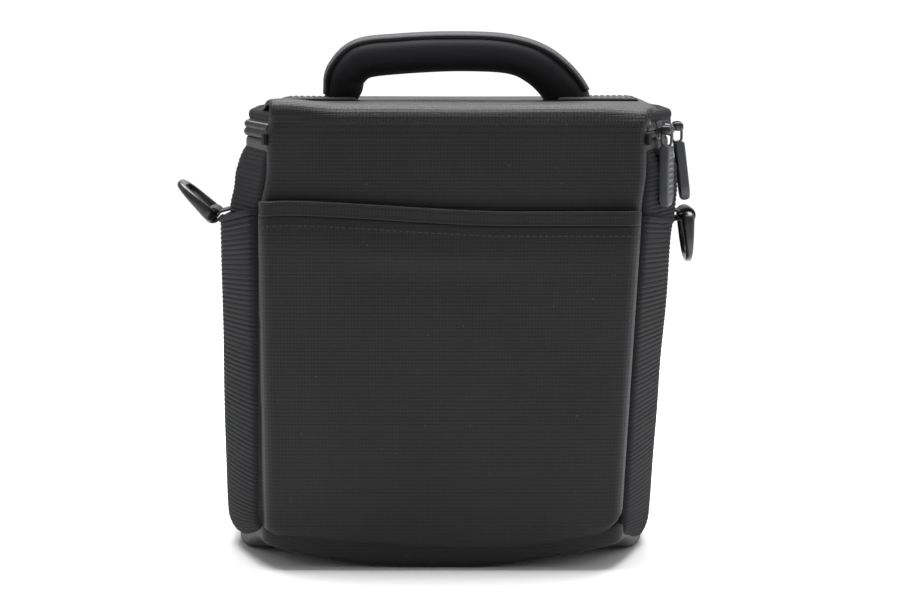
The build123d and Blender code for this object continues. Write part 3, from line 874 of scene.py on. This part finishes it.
def zip_path(step, inset=ZIP_INSET, trim=3.0):
    """The zip in plan, from the front left corner round the back to the front right corner."""
    f, s, b = front_half + 1.4 - inset, side_x - inset, back_half - inset
    start, back = front_y + trim, back_y - inset
    corners = [(f, start), (s, bend_front_y), (s, bend_back_y), (b, back), (-b, back), (-s, bend_back_y),
               (-s, bend_front_y), (-f, start)]
    return rounded_path(corners, (40, 60, 14, 14, 60, 40), step)


def along_zip(step, z, inset=ZIP_INSET, trim=3.0):
    """Centres on the zip line at a height, with outward and upward unit vectors."""
    path = zip_path(step, inset, trim)
    out = plan_normals(path)
    centres = settle(spread(path[:, 0], path[:, 1], z))
    return centres, spread(out[:, 0], out[:, 1], 0), np.broadcast_to(Z_AXIS, centres.shape)


def coil(name, z, body, *nodes):
    """A spiral: centre + radius (cos t outward + sin t upward) as t runs on by 12 steps to each turn."""
    centres, out, up = along_zip(COIL_PITCH / 12, z, inset=ZIP_INSET + 0.6)
    t = np.arange(len(centres)) * 2 * np.pi / 12
    line = centres + COIL_RADIUS * (out * np.cos(t)[:, None] + up * np.sin(t)[:, None])
    along = unit(np.gradient(line, axis=0))
    away = unit(out * np.cos(t)[:, None] + up * np.sin(t)[:, None])
    piece = carried(name, line, away, np.cross(along, away), oval(5, COIL_THREAD, COIL_THREAD), coil_nylon)
    dress(piece, "coil", body, *nodes)
    return piece


coil("body_coil", (body_chain_low + body_chain_top) / 2, "bag", "body_zip_chain")
coil("lid_coil", (lid_chain_low + lid_chain_top) / 2, "lid", "lid_zip_chain")
ZIP_BANDS = (  # name, height, inset, half height, half thickness, body, the solid it stands for
    ("body_binding", binding_low + 1.3, 3.4, 2.8, 1.7, "bag", "body_zip_tape"),
    ("lid_zip_lining", lid_chain_top + 0.6, 3.0, 1.5, 0.8, "lid", "lid_zip_tape"))
for name, z, inset, height, thick, body, cad in ZIP_BANDS:
    centres, out, up = along_zip(1.2, z, inset)
    piece = carried(name, centres, up, out, oval(16, height, thick, 2.6), binding_tape)
    dress(piece, "binding", body, cad)
for name, z, body in (("body_coil_tape", body_chain_low + 0.6, "bag"),
                      ("lid_coil_tape", lid_chain_top - 0.7, "lid")):
    centres, out, up = along_zip(1.5, z, ZIP_INSET + 2.1)
    piece = carried(name, centres, up, out, oval(8, 1.7, 0.4, 5), binding_tape)
    dress(piece, "coil", body)
path_length = len(zip_path(1.0))
centres, out, up = along_zip(1.2, skirt_low + 1.6, 4.4, trim=4.0)
share = np.linspace(0, 1, len(centres))
fullness = 1 + 0.10 * wrinkle(share * path_length, 0 * share, 60, 31)
roll_section = oval(20, 2.7, 2.9, 2.3)[None] * fullness[:, None, None]
skirt = carried("lid_skirt_roll", centres, up, out, roll_section, side_nylon)
dress(skirt, "black_ripstop", "lid", "lid_skirt")
print("zip runs", path_length, "mm, with about", round(path_length / COIL_PITCH), "turns in each coil")

# %% [markdown]
# The sliders, pulls and wire loops are hard parts. The wire loops keep their own solids. The slider and the
# pull are moulded, with every edge rounded, so each is one section carried along a line: the section is a
# rounded rectangle that grows and shrinks on the way, which leaves a thin neck where the wire goes round.

# %% Zip sliders and pulls
SLANT = math.atan2(side_x - front_half, bend_front_y - front_y)
BAR_X = 4.85
SHOULDER_Z = -6.3
PULL_LONG = 26.0
PULL_HALF = 5.5
SLIDER_LONG = 9.0
RIDGE_PITCH, RIDGE_DEEP = 2.4, 0.35
SLIDERS = (("front", -38.0, 0.0), ("rear", -4.0, math.radians(7.0)))  # name, depth, tip of its pull
PLATES = ((0.7, 1.9, 4.0, 0.0), (-3.1, -1.9, 2.2, -1.9))  # inner and outer face, half height, middle


def on_wall(p, y, turn_y=0.0):
    """Local points (out, along, up) from the zip line at a depth y, tipped about the bridge bar first."""
    q = turned(p - [BAR_X, 0, 0], turn_y, 0, 2) + [BAR_X, 0, 0]
    x = side_x - max(bend_front_y - y, 0) * math.tan(SLANT)
    return turned(q, -SLANT if y < bend_front_y else 0.0, 0, 1) + [x, y, parting]


def join_pieces(name, pieces):
    """Several meshes made into the first one."""
    with bpy.context.temp_override(active_object=pieces[0], selected_editable_objects=pieces):
        bpy.ops.object.join()
    pieces[0].name = name
    return pieces[0]


def carried_on_wall(name, y, centres, half_a, half_b, way_a, way_b, power, material, turn_y=0.0, count=24):
    """A superellipse carried in local wall axes, one pair of half sizes for each centre."""
    section = oval(count, 1, 1, power)[None] * np.stack([half_a, half_b], axis=-1)[:, None]
    ring = centres[:, None] + way_a * section[..., :1] + way_b * section[..., 1:]
    ring = on_wall(ring, y, turn_y)
    middle = on_wall(centres, y, turn_y)
    ring = np.concatenate([np.repeat(middle[:1, None], count, axis=1), ring,
                           np.repeat(middle[-1:, None], count, axis=1)])
    quads = grid_quads(len(ring), count, wrap_columns=True)
    if np.dot(np.cross(way_a, way_b), centres[-1] - centres[0]) < 0:
        quads = quads[:, ::-1]
    return mesh_piece(name, ring.reshape(-1, 3), quads[:, ::-1], grid_uv(ring), material, 0.01)


def round_ends(count, roundness):
    """Shares of the full size near two ends: a quarter circle at each, over roundness of the length."""
    t = np.concatenate([roundness * (1 - np.cos(np.linspace(0, np.pi / 2, 7))),
                        np.linspace(roundness, 1 - roundness, count)[1:-1],
                        1 - roundness * (1 - np.cos(np.linspace(np.pi / 2, 0, 7)))])
    edge = np.clip(1 - np.minimum(t, 1 - t) / roundness, 0, 1)
    return t, np.sqrt(np.clip(1 - edge ** 2, 0, 1))


for name, y, tip in SLIDERS:
    t, full = round_ends(30, 0.09)
    along = (t - 0.5) * SLIDER_LONG
    waist = ease((np.abs(along) - 1.0) / 0.7)
    centre_x = BAR_X + 0.15 * waist
    bridge = carried_on_wall("bridge", y, spread(centre_x, along, 0),
                             (1.1 + 1.25 * waist) * (0.25 + 0.75 * full), (1.1 + 0.75 * waist) * full,
                             X_AXIS, Z_AXIS, 3.2, slider_paint)
    t, full = round_ends(14, 0.2)
    plates = []
    for low, high, half_z, mid_z in PLATES:
        plates.append(carried_on_wall(
            "plate", y, spread((low + high) / 2, (t - 0.5) * SLIDER_LONG, mid_z),
            (high - low) / 2 * (0.5 + 0.5 * full), half_z * (0.72 + 0.28 * full), X_AXIS, Z_AXIS, 4,
            slider_paint))
    for end in (-1, 1):
        t, full = round_ends(6, 0.25)
        plates.append(carried_on_wall(
            "cheek", y, spread(1.0 + t * 4.2, end * 3.3, 0),
            0.9 + 0 * t, 1.25 + 0 * t, Y_AXIS, Z_AXIS, 3, slider_paint))
    plates.append(carried_on_wall("post", y, np.array([[-2.5, 0, 0], [1.0, 0, 0]]), np.array([2.0, 2.0]),
                                  np.array([0.24, 0.24]), Y_AXIS, Z_AXIS, 4, slider_paint))
    slider = join_pieces(f"{name}_slider_body", [bridge, *plates])
    dress(slider, "slider_metal", f"{name}_slider", f"{name}_slider")
    t, full = round_ends(70, 0.12)
    z = SHOULDER_Z - t * PULL_LONG
    low_round = np.sqrt(np.clip(1 - np.clip((t - 0.72) / 0.28, 0, 1) ** 2.4, 0, 1))
    half_y = PULL_HALF * (0.88 + 0.12 * ease(t * 3)) * np.maximum(low_round, 0.02)
    half_x = 2.25 * np.minimum(full + 0.25, 1) * (0.85 + 0.15 * low_round)
    grip = carried_on_wall("grip", y, spread(BAR_X, 0, z), half_x, half_y,
                           X_AXIS, Y_AXIS, 7, pull_rubber, tip, count=72)
    mesh = grip.data
    coordinates, normals = read_vertices(mesh, "co") / MM, read_vertices(mesh, "normal")
    out_way = on_wall(np.array([[1.0, 0, 0], [0.0, 0, 0]]), y)
    facing = np.clip(normals @ (out_way[0] - out_way[1]), 0, 1) ** 2
    depth = coordinates[:, 2] - (parting + SHOULDER_Z)
    origin = on_wall(np.zeros((1, 3)), y)
    across = (coordinates - origin) @ (on_wall(np.array([[0, 1.0, 0]]), y) - origin)[0]
    ridge = np.abs(np.sin((depth + np.abs(across) * 0.8) * np.pi / RIDGE_PITCH))
    inside = ease((PULL_HALF - 1.4 - np.abs(across)) / 1.0) * ease((-depth - 3) / 1.5)
    inside = inside * ease((depth + PULL_LONG - 4.5) / 2)
    coordinates = coordinates - normals * (facing * inside * RIDGE_DEEP * ridge)[:, None]
    mesh.vertices.foreach_set("co", (coordinates * MM).astype(np.float32).ravel())
    grip.name = f"{name}_pull_grip"
    dress(grip, "pull_rubber", f"{name}_pull", f"{name}_pull")
print("sliders and pulls done")

# %% [markdown]
# The strap rings are moulded plastic. A ring is thin where the strap pulls and thick where the bar goes
# through the webbing, so its section changes along the path. The right one hangs and the left one is
# turned up about its bar, so both are the same ring turned by a different amount.

# %% Strap rings and their webbing tabs
RING_AXIS_X = extent("right_ring_tab", 0, 1) - 3.4
RING_Y, RING_Z = ((extent("right_ring_tab", axis, 0) + extent("right_ring_tab", axis, 1)) / 2
                  for axis in (1, 2))
RING_HALF = 12.3
RING_TIP = RING_Z - extent("right_ring", 2, 0) - 4.2
LEFT_RAISE = math.radians(131.0)


def ring_surface():
    """The ring hanging, in local axes: a closed path in y and z, with half sizes from the bar to the tip."""
    half, tip = RING_HALF, -RING_TIP
    corners = [(0, 0), (half, 0), (half, tip), (-half, tip), (-half, 0), (0, 0)]
    path = rounded_path(corners, (3.2, 10.5, 10.5, 3.2), 0.7)[:-1]
    normal = plan_normals(np.concatenate([path[-1:], path, path[:1]]))[1:-1]
    down = np.clip(-path[:, 1] / RING_TIP, 0, 1)
    bar = (1 - ease((np.abs(path[:, 0]) - 9.2) / 1.4)) * (path[:, 1] > -2)
    half_x = (2.9 - 1.5 * down) * (1 - bar) + 2.0 * bar
    half_r = 1.75 * (1 - bar) + 2.0 * bar
    shift = 1.1 * down - 0.2 * (1 - bar)
    section = oval(20, 1, 1, 2.8)[None] * np.stack([half_r, half_x], axis=-1)[:, None]
    y = path[:, None, 0] + normal[:, None, 0] * section[..., 0]
    z = path[:, None, 1] + normal[:, None, 1] * section[..., 0]
    return np.stack([section[..., 1] + shift[:, None], y, z], axis=-1)


for side, sign, raised in (("right", 1, 0.0), ("left", -1, LEFT_RAISE)):
    world = (turned(ring_surface(), raised, 0, 2) + [RING_AXIS_X, RING_Y, RING_Z]) * [sign, 1, 1]
    quads = grid_quads(world.shape[0], world.shape[1], wrap_rows=True, wrap_columns=True)
    ring = mesh_piece(f"{side}_strap_ring", world.reshape(-1, 3), quads if sign > 0 else quads[:, ::-1],
                      grid_uv(world), ring_plastic)
    dress(ring, "ring_plastic", f"{side}_ring", f"{side}_ring")
    turn = np.linspace(-0.86 * np.pi, 0.86 * np.pi, 40)
    loop_x, loop_z = 3.05 * np.cos(turn), 3.05 * np.sin(turn)
    tail = np.linspace(0, 1, 10)[1:]
    low_x = loop_x[0] + (side_x - 0.8 - RING_AXIS_X - loop_x[0]) * tail
    webbing = np.stack([np.concatenate([low_x[::-1], loop_x, low_x]),
                        np.concatenate([(loop_z[0] - 2.2 * tail)[::-1], loop_z, loop_z[-1] + 2.2 * tail])],
                       axis=-1)
    slope = unit(np.gradient(webbing, axis=0))
    centres = spread(webbing[:, 0] + RING_AXIS_X, RING_Y, webbing[:, 1] + RING_Z) * [sign, 1, 1]
    away = spread(slope[:, 1], 0, -slope[:, 0]) * [sign, 1, 1]
    across = np.broadcast_to(Y_AXIS, centres.shape)
    tab = carried(f"{side}_ring_webbing", centres, across, away, oval(24, 8.8, 0.62, 6), strap_web)
    dress(tab, "strap_webbing", "bag", f"{side}_ring_tab")
print("rings at", round(RING_AXIS_X, 1), round(RING_Y, 1), round(RING_Z, 1))

# %% [markdown]
# The handle is a tube of soft knit over a core, with a woven strap sewn along its top between two cords.
# On the real bag it isn't even: it rises steeply on the left and slopes away on the right, where it is
# fatter. Its line is a smooth curve through a few heights, and its section changes along it. Its feet stay
# on the lid and the rest tilts, so it bends between the two.

# %% Carry handle
def through(points, count):
    """A smooth curve through points, Catmull and Rom's: each span is a cubic whose end slopes are half the
    step between the neighbours, resampled at an even step."""
    p = np.asarray(points, float)
    p = np.concatenate([2 * p[:1] - p[1:2], p, 2 * p[-1:] - p[-2:-1]])
    t = np.linspace(0, 1, 41)[:-1, None]
    spans = [0.5 * (2 * b + (c - a) * t + (2 * a - 5 * b + 4 * c - d) * t ** 2
                    + (3 * b - a - 3 * c + d) * t ** 3) for a, b, c, d in zip(p, p[1:], p[2:], p[3:])]
    line = np.concatenate([*spans, p[-2:-1]])
    run = running_length(line[:, :2])
    return resample(line, run, np.linspace(0, run[-1], count))


HANDLE = [  # x, z, half thickness, half width
    (-49.0, 191.6, 5.6, 6.5), (-48.2, 195.5, 7.4, 8.5), (-46.8, 199.8, 8.8, 10.5), (-45.2, 205.6, 8.9, 12.0),
    (-38.0, 211.9, 9.0, 12.6), (-22.0, 213.9, 8.9, 12.8), (-2.0, 214.9, 8.8, 12.8), (18.0, 214.6, 8.7, 12.8),
    (30.0, 212.8, 8.7, 12.6), (38.5, 209.1, 9.2, 12.2), (44.5, 204.4, 9.5, 11.5), (49.0, 199.2, 9.9, 10.5),
    (51.4, 194.5, 10.6, 9.0), (51.8, 191.6, 10.8, 7.5)]
line = through(HANDLE, 150)
slope = unit(np.gradient(line[:, :2], axis=0))
away = spread(-slope[:, 1], 0, slope[:, 0])
centres = spread(line[:, 0], 0, line[:, 1])
run = np.linspace(0, 1, len(line))
puff = 1 + 0.02 * wrinkle(run * 200, 0 * run, 40, 61)
section = oval(36, 1, 1, 2.5)[None] * np.stack([line[:, 2] * puff, line[:, 3] * puff], axis=-1)[:, None]
section[..., 0] *= 1 - 0.10 * np.clip(section[..., 0] / line[:, None, 2], 0, 1)
across = np.broadcast_to(Y_AXIS, centres.shape)
grip = carried("handle_knit", centres, away, across, section, grip_knit)
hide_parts("handle_grip", "handle_core")
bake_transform(grip)
top = slice(4, -4)
strap_line = centres[top] + away[top] * (line[top, 2] * 0.9 + 0.25)[:, None]
half_strap = np.minimum(line[top, 3] - 2.4, 9.6)
strip_section = oval(24, 1, 1, 5)[None] * np.stack([0.6 + 0 * half_strap, half_strap], axis=-1)[:, None]
bow = (strip_section[..., 1] / half_strap[:, None]) ** 2 * 1.4
strip_section[..., 0] -= bow
strap = carried("handle_strap", strap_line, away[top], across[top], strip_section, strap_web)
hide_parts("handle_top_strip")
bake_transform(strap)
for name, way in (("front", -1), ("rear", 1)):
    cord_line = strap_line - away[top] * 1.7 + across[top] * (way * (half_strap + 0.5))[:, None]
    cord = carried(f"handle_{name}_piping", cord_line, away[top], across[top], oval(12, 1.0, 0.95),
                   binding_tape)
    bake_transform(cord)
print("handle runs", round(running_length(centres)[-1]), "mm")


# %% [markdown]
# The strap ends lie flat on the lid beyond the handle's feet and are sewn down in a box. They follow the
# lid's own crown, so the same formula that raises the lid cloth raises them.

# %% Strap ends on the lid
TAB_HALF = 12.5
TAB_THICK = 1.5
TAB_EDGE = 1.2
SEW_INSET = 2.5


for side, low, high in (("left", -77.0, -44.0), ("right", 43.0, 78.0)):
    x, y = np.meshgrid(np.linspace(low, high, 44), np.linspace(-TAB_HALF, TAB_HALF, 30), indexing="ij")
    edge = np.minimum(np.minimum(x - low, high - x), TAB_HALF - np.abs(y))
    proud = TAB_THICK * np.sqrt(1 - np.clip(1 - edge / TAB_EDGE, 0, 1) ** 2 * 0.96)
    z = lid_top + lid_crown(x) + lid_ripple(x, lid_top + y) + proud
    tab = thick_sheet(f"{side}_strap_end", settle(np.stack([x, y, z], axis=-1)), 1.4, strap_web,
                      uv=np.stack([y, x], axis=-1).reshape(-1, 2) * MM, outward=(0, 0, 1))
    dress(tab, "strap_webbing", "lid", f"handle_tab_{side}")
    left, right, half = low + SEW_INSET, high - SEW_INSET, TAB_HALF - SEW_INSET
    corners = [(left, -half), (right, -half), (right, half), (left, half), (left, -half)]
    box_run = rounded_path(corners, (0.5, 0.5, 0.5), 1.0)
    rise = lid_crown(box_run[:, 0]) + lid_ripple(box_run[:, 0], lid_top + box_run[:, 1])
    seat = settle(np.stack([box_run[:, 0], box_run[:, 1], lid_top + 1.55 + rise], axis=-1))
    stitches(f"{side}_strap_end_stitches", seat, np.broadcast_to(Z_AXIS, seat.shape), "lid")
print("strap ends done")

# %% [markdown]
# Inside, every wall is a foam pad covered in soft lining. A pad is a sheet given a thickness that falls to
# nothing at its edges, so it is crowned between its seams. The pads take the same soft outline as the outer
# cloth, so that none of them shows through it.

# %% Lined pads and floor board
PAD_DEPTH = 4.7
PAD_THICK = 6.8
WALL_FILL, LID_FILL = 0.85, 0.8
PAD_LOW = 11.5


def pillow(name, middle, thickness, material, roundness=0.06):
    """Two skins either side of a middle grid: half the thickness times a superellipse of the edge share."""
    rows, columns = middle.shape[:2]
    a = np.linspace(-1, 1, rows)[:, None]
    b = np.linspace(-1, 1, columns)[None]
    swell = ((1 - np.abs(a) ** (1 / roundness)) * (1 - np.abs(b) ** (1 / roundness))) ** 0.5
    swell = swell * (0.94 + 0.06 * (1 - a ** 2) * (1 - b ** 2))
    half = grid_normals(middle) * (thickness / 2 * swell)[..., None]
    return closed_sheet(name, middle + half, middle - half, material)


def edge_spaced(low, high, count):
    """Positions from low to high, closer together at both ends: half of one minus the cosine."""
    return low + (high - low) * (0.5 - 0.5 * np.cos(np.linspace(0, np.pi, count)))


pads = []
for side, sign in (("right", 1), ("left", -1)):
    path = side_path(1.0)
    inner = path - plan_normals(path) * PAD_DEPTH
    y = edge_spaced(front_y + 8.6, back_y - 8.6, 34)
    x = np.interp(y, inner[:, 1], inner[:, 0])
    z = edge_spaced(PAD_LOW, 176.0, 46)
    grid = spread(sign * x[:, None], y[:, None], z[None])
    pad = pillow(f"{side}_wall_pad", settle(grid), PAD_THICK, lining_cloth)
    pads.append((pad, (f"{side}_foam", f"{side}_liner"), "bag", WALL_FILL))
for side, y, half, high in (("front", front_y + PAD_DEPTH, front_half - 5.5, 180.5),
                            ("back", back_y - PAD_DEPTH, back_half - 7.0, 176.0)):
    grid = spread(edge_spaced(-half, half, 44)[:, None], y, edge_spaced(PAD_LOW, high, 46)[None])
    pad = pillow(f"{side}_wall_pad", settle(grid), PAD_THICK, lining_cloth)
    pads.append((pad, (f"{side}_foam", f"{side}_liner"), "bag", WALL_FILL))


def plan_grid(width, y_low, y_high, z, rows=40, columns=44):
    """A level grid whose half width is a function of the depth."""
    y = edge_spaced(y_low, y_high, rows)
    x = edge_spaced(-1, 1, columns)[None] * width(y)[:, None]
    return spread(x, y[:, None], z)


lid_middle = plan_grid(lambda y: lid_half_width(y) - 0.6, front_y + 4.4, back_y - 3.5, 187.4)
pad = pillow("lid_pad", settle(lid_middle), PAD_THICK, lining_cloth)
pads.append((pad, ("lid_foam", "lid_liner"), "lid", LID_FILL))
floor_middle = plan_grid(lambda y: lid_half_width(y) - 5.0, front_y + 13.0, back_y - 9.0, 7.2)
floor_rise = 0.5 * corner_lift(floor_middle[..., 0], floor_middle[..., 1])
floor_middle[..., 2] += floor_rise * ease((np.abs(floor_middle[..., 0]) - 64) / 10)
pad = pillow("floor_pad", settle(floor_middle), 6.2, lining_cloth)
pads.append((pad, ("base_foam", "floor_liner"), "bag", WALL_FILL))
for pad, nodes, body, fill in pads:
    dress(pad, "lining", body, *nodes, fill=fill)
board_middle = plan_grid(lambda y: lid_half_width(y) - 12.0, front_y + 22.0, back_y - 14.0, 2.9)
board_middle[..., 2] += corner_lift(board_middle[..., 0], board_middle[..., 1])
board = pillow("floor_board", settle(board_middle), 1.8, board_plastic, roundness=0.02)
dress(board, "board", "bag", "base_board")
print("pads:", len(pads))

# %% [markdown]
# The divider is a foam pad in lining cloth, with a strip of hook tape on each end that holds on to the
# lining of the front and back walls. It is drawn as a pillow too, standing across the bag.

# %% Divider and its hook strips
pad_low, pad_high = (np.array(corner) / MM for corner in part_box("divider_pad"))
divider_x = (pad_low[0] + pad_high[0]) / 2
middle = spread(divider_x, edge_spaced(pad_low[1], pad_high[1], 40)[:, None],
                edge_spaced(pad_low[2], pad_high[2], 44)[None])
divider = pillow("divider_cushion", middle, pad_high[0] - pad_low[0], lining_cloth)
dress(divider, "lining", "divider", "divider_pad", fill=WALL_FILL)
for end in ("front", "rear"):
    low, high = (np.array(corner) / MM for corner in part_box(f"divider_{end}_hook_strip"))
    centre, half = (low + high) / 2, (high - low) / 2
    line_z = np.linspace(low[2] + 3, high[2] - 3, 60)
    centres = spread(centre[0], centre[1], line_z)
    strip = carried(f"divider_{end}_hook_tape", centres, np.broadcast_to(X_AXIS, centres.shape),
                    np.broadcast_to(Y_AXIS, centres.shape), oval(16, half[0], half[1], 5), hook_pile)
    dress(strip, "hook_tape", "divider", f"divider_{end}_hook_strip")
print("divider at x", round(divider_x, 1))

# %% [markdown]
# Two small webbing tabs cover the ends of the zip at the front corners. They are the last soft solids of
# the frame, and each is a short folded band.

# %% Zip end tabs and carried-over parts
for side, sign in (("right", 1), ("left", -1)):
    z = np.linspace(parting - 5.4, parting - 0.8, 12)
    centre = settle(spread(sign * (front_half + 1.1), front_y + 3.6, z))
    out = np.broadcast_to([sign * math.cos(SLANT), -math.sin(SLANT), 0.0], centre.shape)
    along = np.broadcast_to([sign * math.sin(SLANT), math.cos(SLANT), 0.0], centre.shape)
    tab = carried(f"{side}_zip_end_tab", centre, along, out, oval(18, 2.8, 0.7, 4), side_nylon)
    dress(tab, "binding", "bag", f"zip_end_tab_{side}")
for name in ("front_pull_loop", "rear_pull_loop"):
    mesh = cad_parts[name].data
    mesh.materials.clear()
    mesh.materials.append(wire_steel)
left_plain = [n for n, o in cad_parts.items() if not o.hide_render and "loop" not in n]
print("frame nodes still shown plain:", left_plain)

# %% [markdown]
# Each outer panel is a sheet of nylon, cut flat and sewn under tension over its foam. The cut sizes are the
# panel's length along the cloth with its seam allowance, so they are a little more than the sizes seen.

# %% Cut sizes of the cloth panels
WALL_TALL = binding_low - 10
SEAMS = 6  # seam allowances of two edges
SIDE_RUN = 113.0
PANELS = [  # piece, cut width, cut length in millimetres, what it lies on
    ("front_lid_cloth", 2 * side_x, lid_top + back_y - front_y, ["front_wall_pad", "lid_pad"]),
    ("right_wall_cloth", SIDE_RUN + SEAMS, WALL_TALL + SEAMS, ["right_wall_pad"]),
    ("left_wall_cloth", SIDE_RUN + SEAMS, WALL_TALL + SEAMS, ["left_wall_pad"]),
    ("back_wall_cloth", 2 * back_half + 20, WALL_TALL + SEAMS, ["back_wall_pad"]),
    ("front_pocket_cloth", 2 * front_half + 12, pocket_top + SEAMS, ["front_lid_cloth"]),
    ("right_pocket_cloth", SIDE_RUN + 10, side_pocket_top + SEAMS, ["right_wall_cloth"]),
    ("left_pocket_cloth", SIDE_RUN + 10, side_pocket_top + SEAMS, ["left_wall_cloth"]),
    ("base_tray", 2 * side_x + 2 * TRAY_TOP, back_y - front_y + 2 * TRAY_TOP, ["floor_board"])]
for name, width, length, under in PANELS:
    print(name, "cut", round(width), "x", round(length), "mm")

# %% [markdown]
# The set is a pale table under soft light from above and both sides. The camera stands almost a metre in
# front, a little above the lid, and looks slightly down with a long lens.

# %% Table, lights and camera
paper, tree, shader = start_material("table_paper", 0.75)
rubbed = node(tree, "ShaderNodeGroup", {"Scale": 3.0}, node_tree=wear)
tree.links.new(mix_colours(tree, rubbed.outputs["Mask"], (0.93, 0.93, 0.935), (0.95, 0.95, 0.95)),
               shader.inputs["Base Color"])


def flat_board(name, corners, material):
    """One flat face through four corners in millimetres."""
    return mesh_piece(name, np.array(corners, float), np.array([[0, 1, 2, 3]]), np.zeros((4, 2)), material)


TABLE_HALF, TABLE_FRONT, TABLE_BACK = 2500, -1200, 1400
GLOW_HALF, GLOW_HIGH = 640, 700
table = flat_board("table_top", [(-TABLE_HALF, TABLE_FRONT, 0), (TABLE_HALF, TABLE_FRONT, 0),
                                 (TABLE_HALF, TABLE_BACK, 0), (-TABLE_HALF, TABLE_BACK, 0)], paper)
glow, tree, shader = start_material("backdrop_glow", 0.9)
shader.inputs["Base Color"].default_value = (0, 0, 0, 1)
shader.inputs["Emission Color"].default_value = (1, 1, 1, 1)
shader.inputs["Emission Strength"].default_value = 1.05
backdrop = flat_board("backdrop", [(-GLOW_HALF, TABLE_BACK, 0), (GLOW_HALF, TABLE_BACK, 0),
                                   (GLOW_HALF, TABLE_BACK, GLOW_HIGH),
                                   (-GLOW_HALF, TABLE_BACK, GLOW_HIGH)], glow)
scene = bpy.context.scene
world = bpy.data.worlds.new("studio")
world.use_nodes = True
world.node_tree.nodes["Background"].inputs[0].default_value = (1.0, 1.0, 1.0, 1.0)
world.node_tree.nodes["Background"].inputs[1].default_value = 0.35
scene.world = world
scene.view_settings.view_transform = "Standard"


def soft_light(name, place, target, size, power):
    """A square area light aimed at a point: its -Z axis is turned along the line to the target."""
    data = bpy.data.lights.new(name, "AREA")
    data.shape = "RECTANGLE"
    data.size, data.size_y = size
    data.energy = power
    light = bpy.data.objects.new(name, data)
    light.location = place
    direction = np.array(target, float) - np.array(place, float)
    flat = math.hypot(direction[0], direction[1])
    light.rotation_euler = (math.atan2(flat, -direction[2]), 0.0,
                            math.atan2(direction[1], direction[0]) - math.pi / 2)
    scene.collection.objects.link(light)
    return light


AIM = (0, 0, 0.1)
SOFTBOXES = [  # name, place, size in metres, power in watts
    ("top_softbox", (0.0, 0.25, 1.1), (1.2, 0.9), 38.0),
    ("left_softbox", (-1.1, -0.1, 0.45), (0.7, 0.9), 1.2),
    ("right_softbox", (1.1, 0.0, 0.45), (0.7, 0.9), 3.4)]
for name, place, size, power in SOFTBOXES:
    soft_light(name, place, AIM, size, power)
CAMERA_PLACE = (0.0, -0.960, 0.224)
CAMERA_DOWN = 7.02  # degrees below level
lens = bpy.data.cameras.new("camera")
lens.lens = 87.6
lens.sensor_width = 36.0
camera = bpy.data.objects.new("camera", lens)
camera.location = CAMERA_PLACE
camera.rotation_euler = (math.radians(90 - CAMERA_DOWN), 0.0, 0.0)
scene.collection.objects.link(camera)
scene.camera = camera
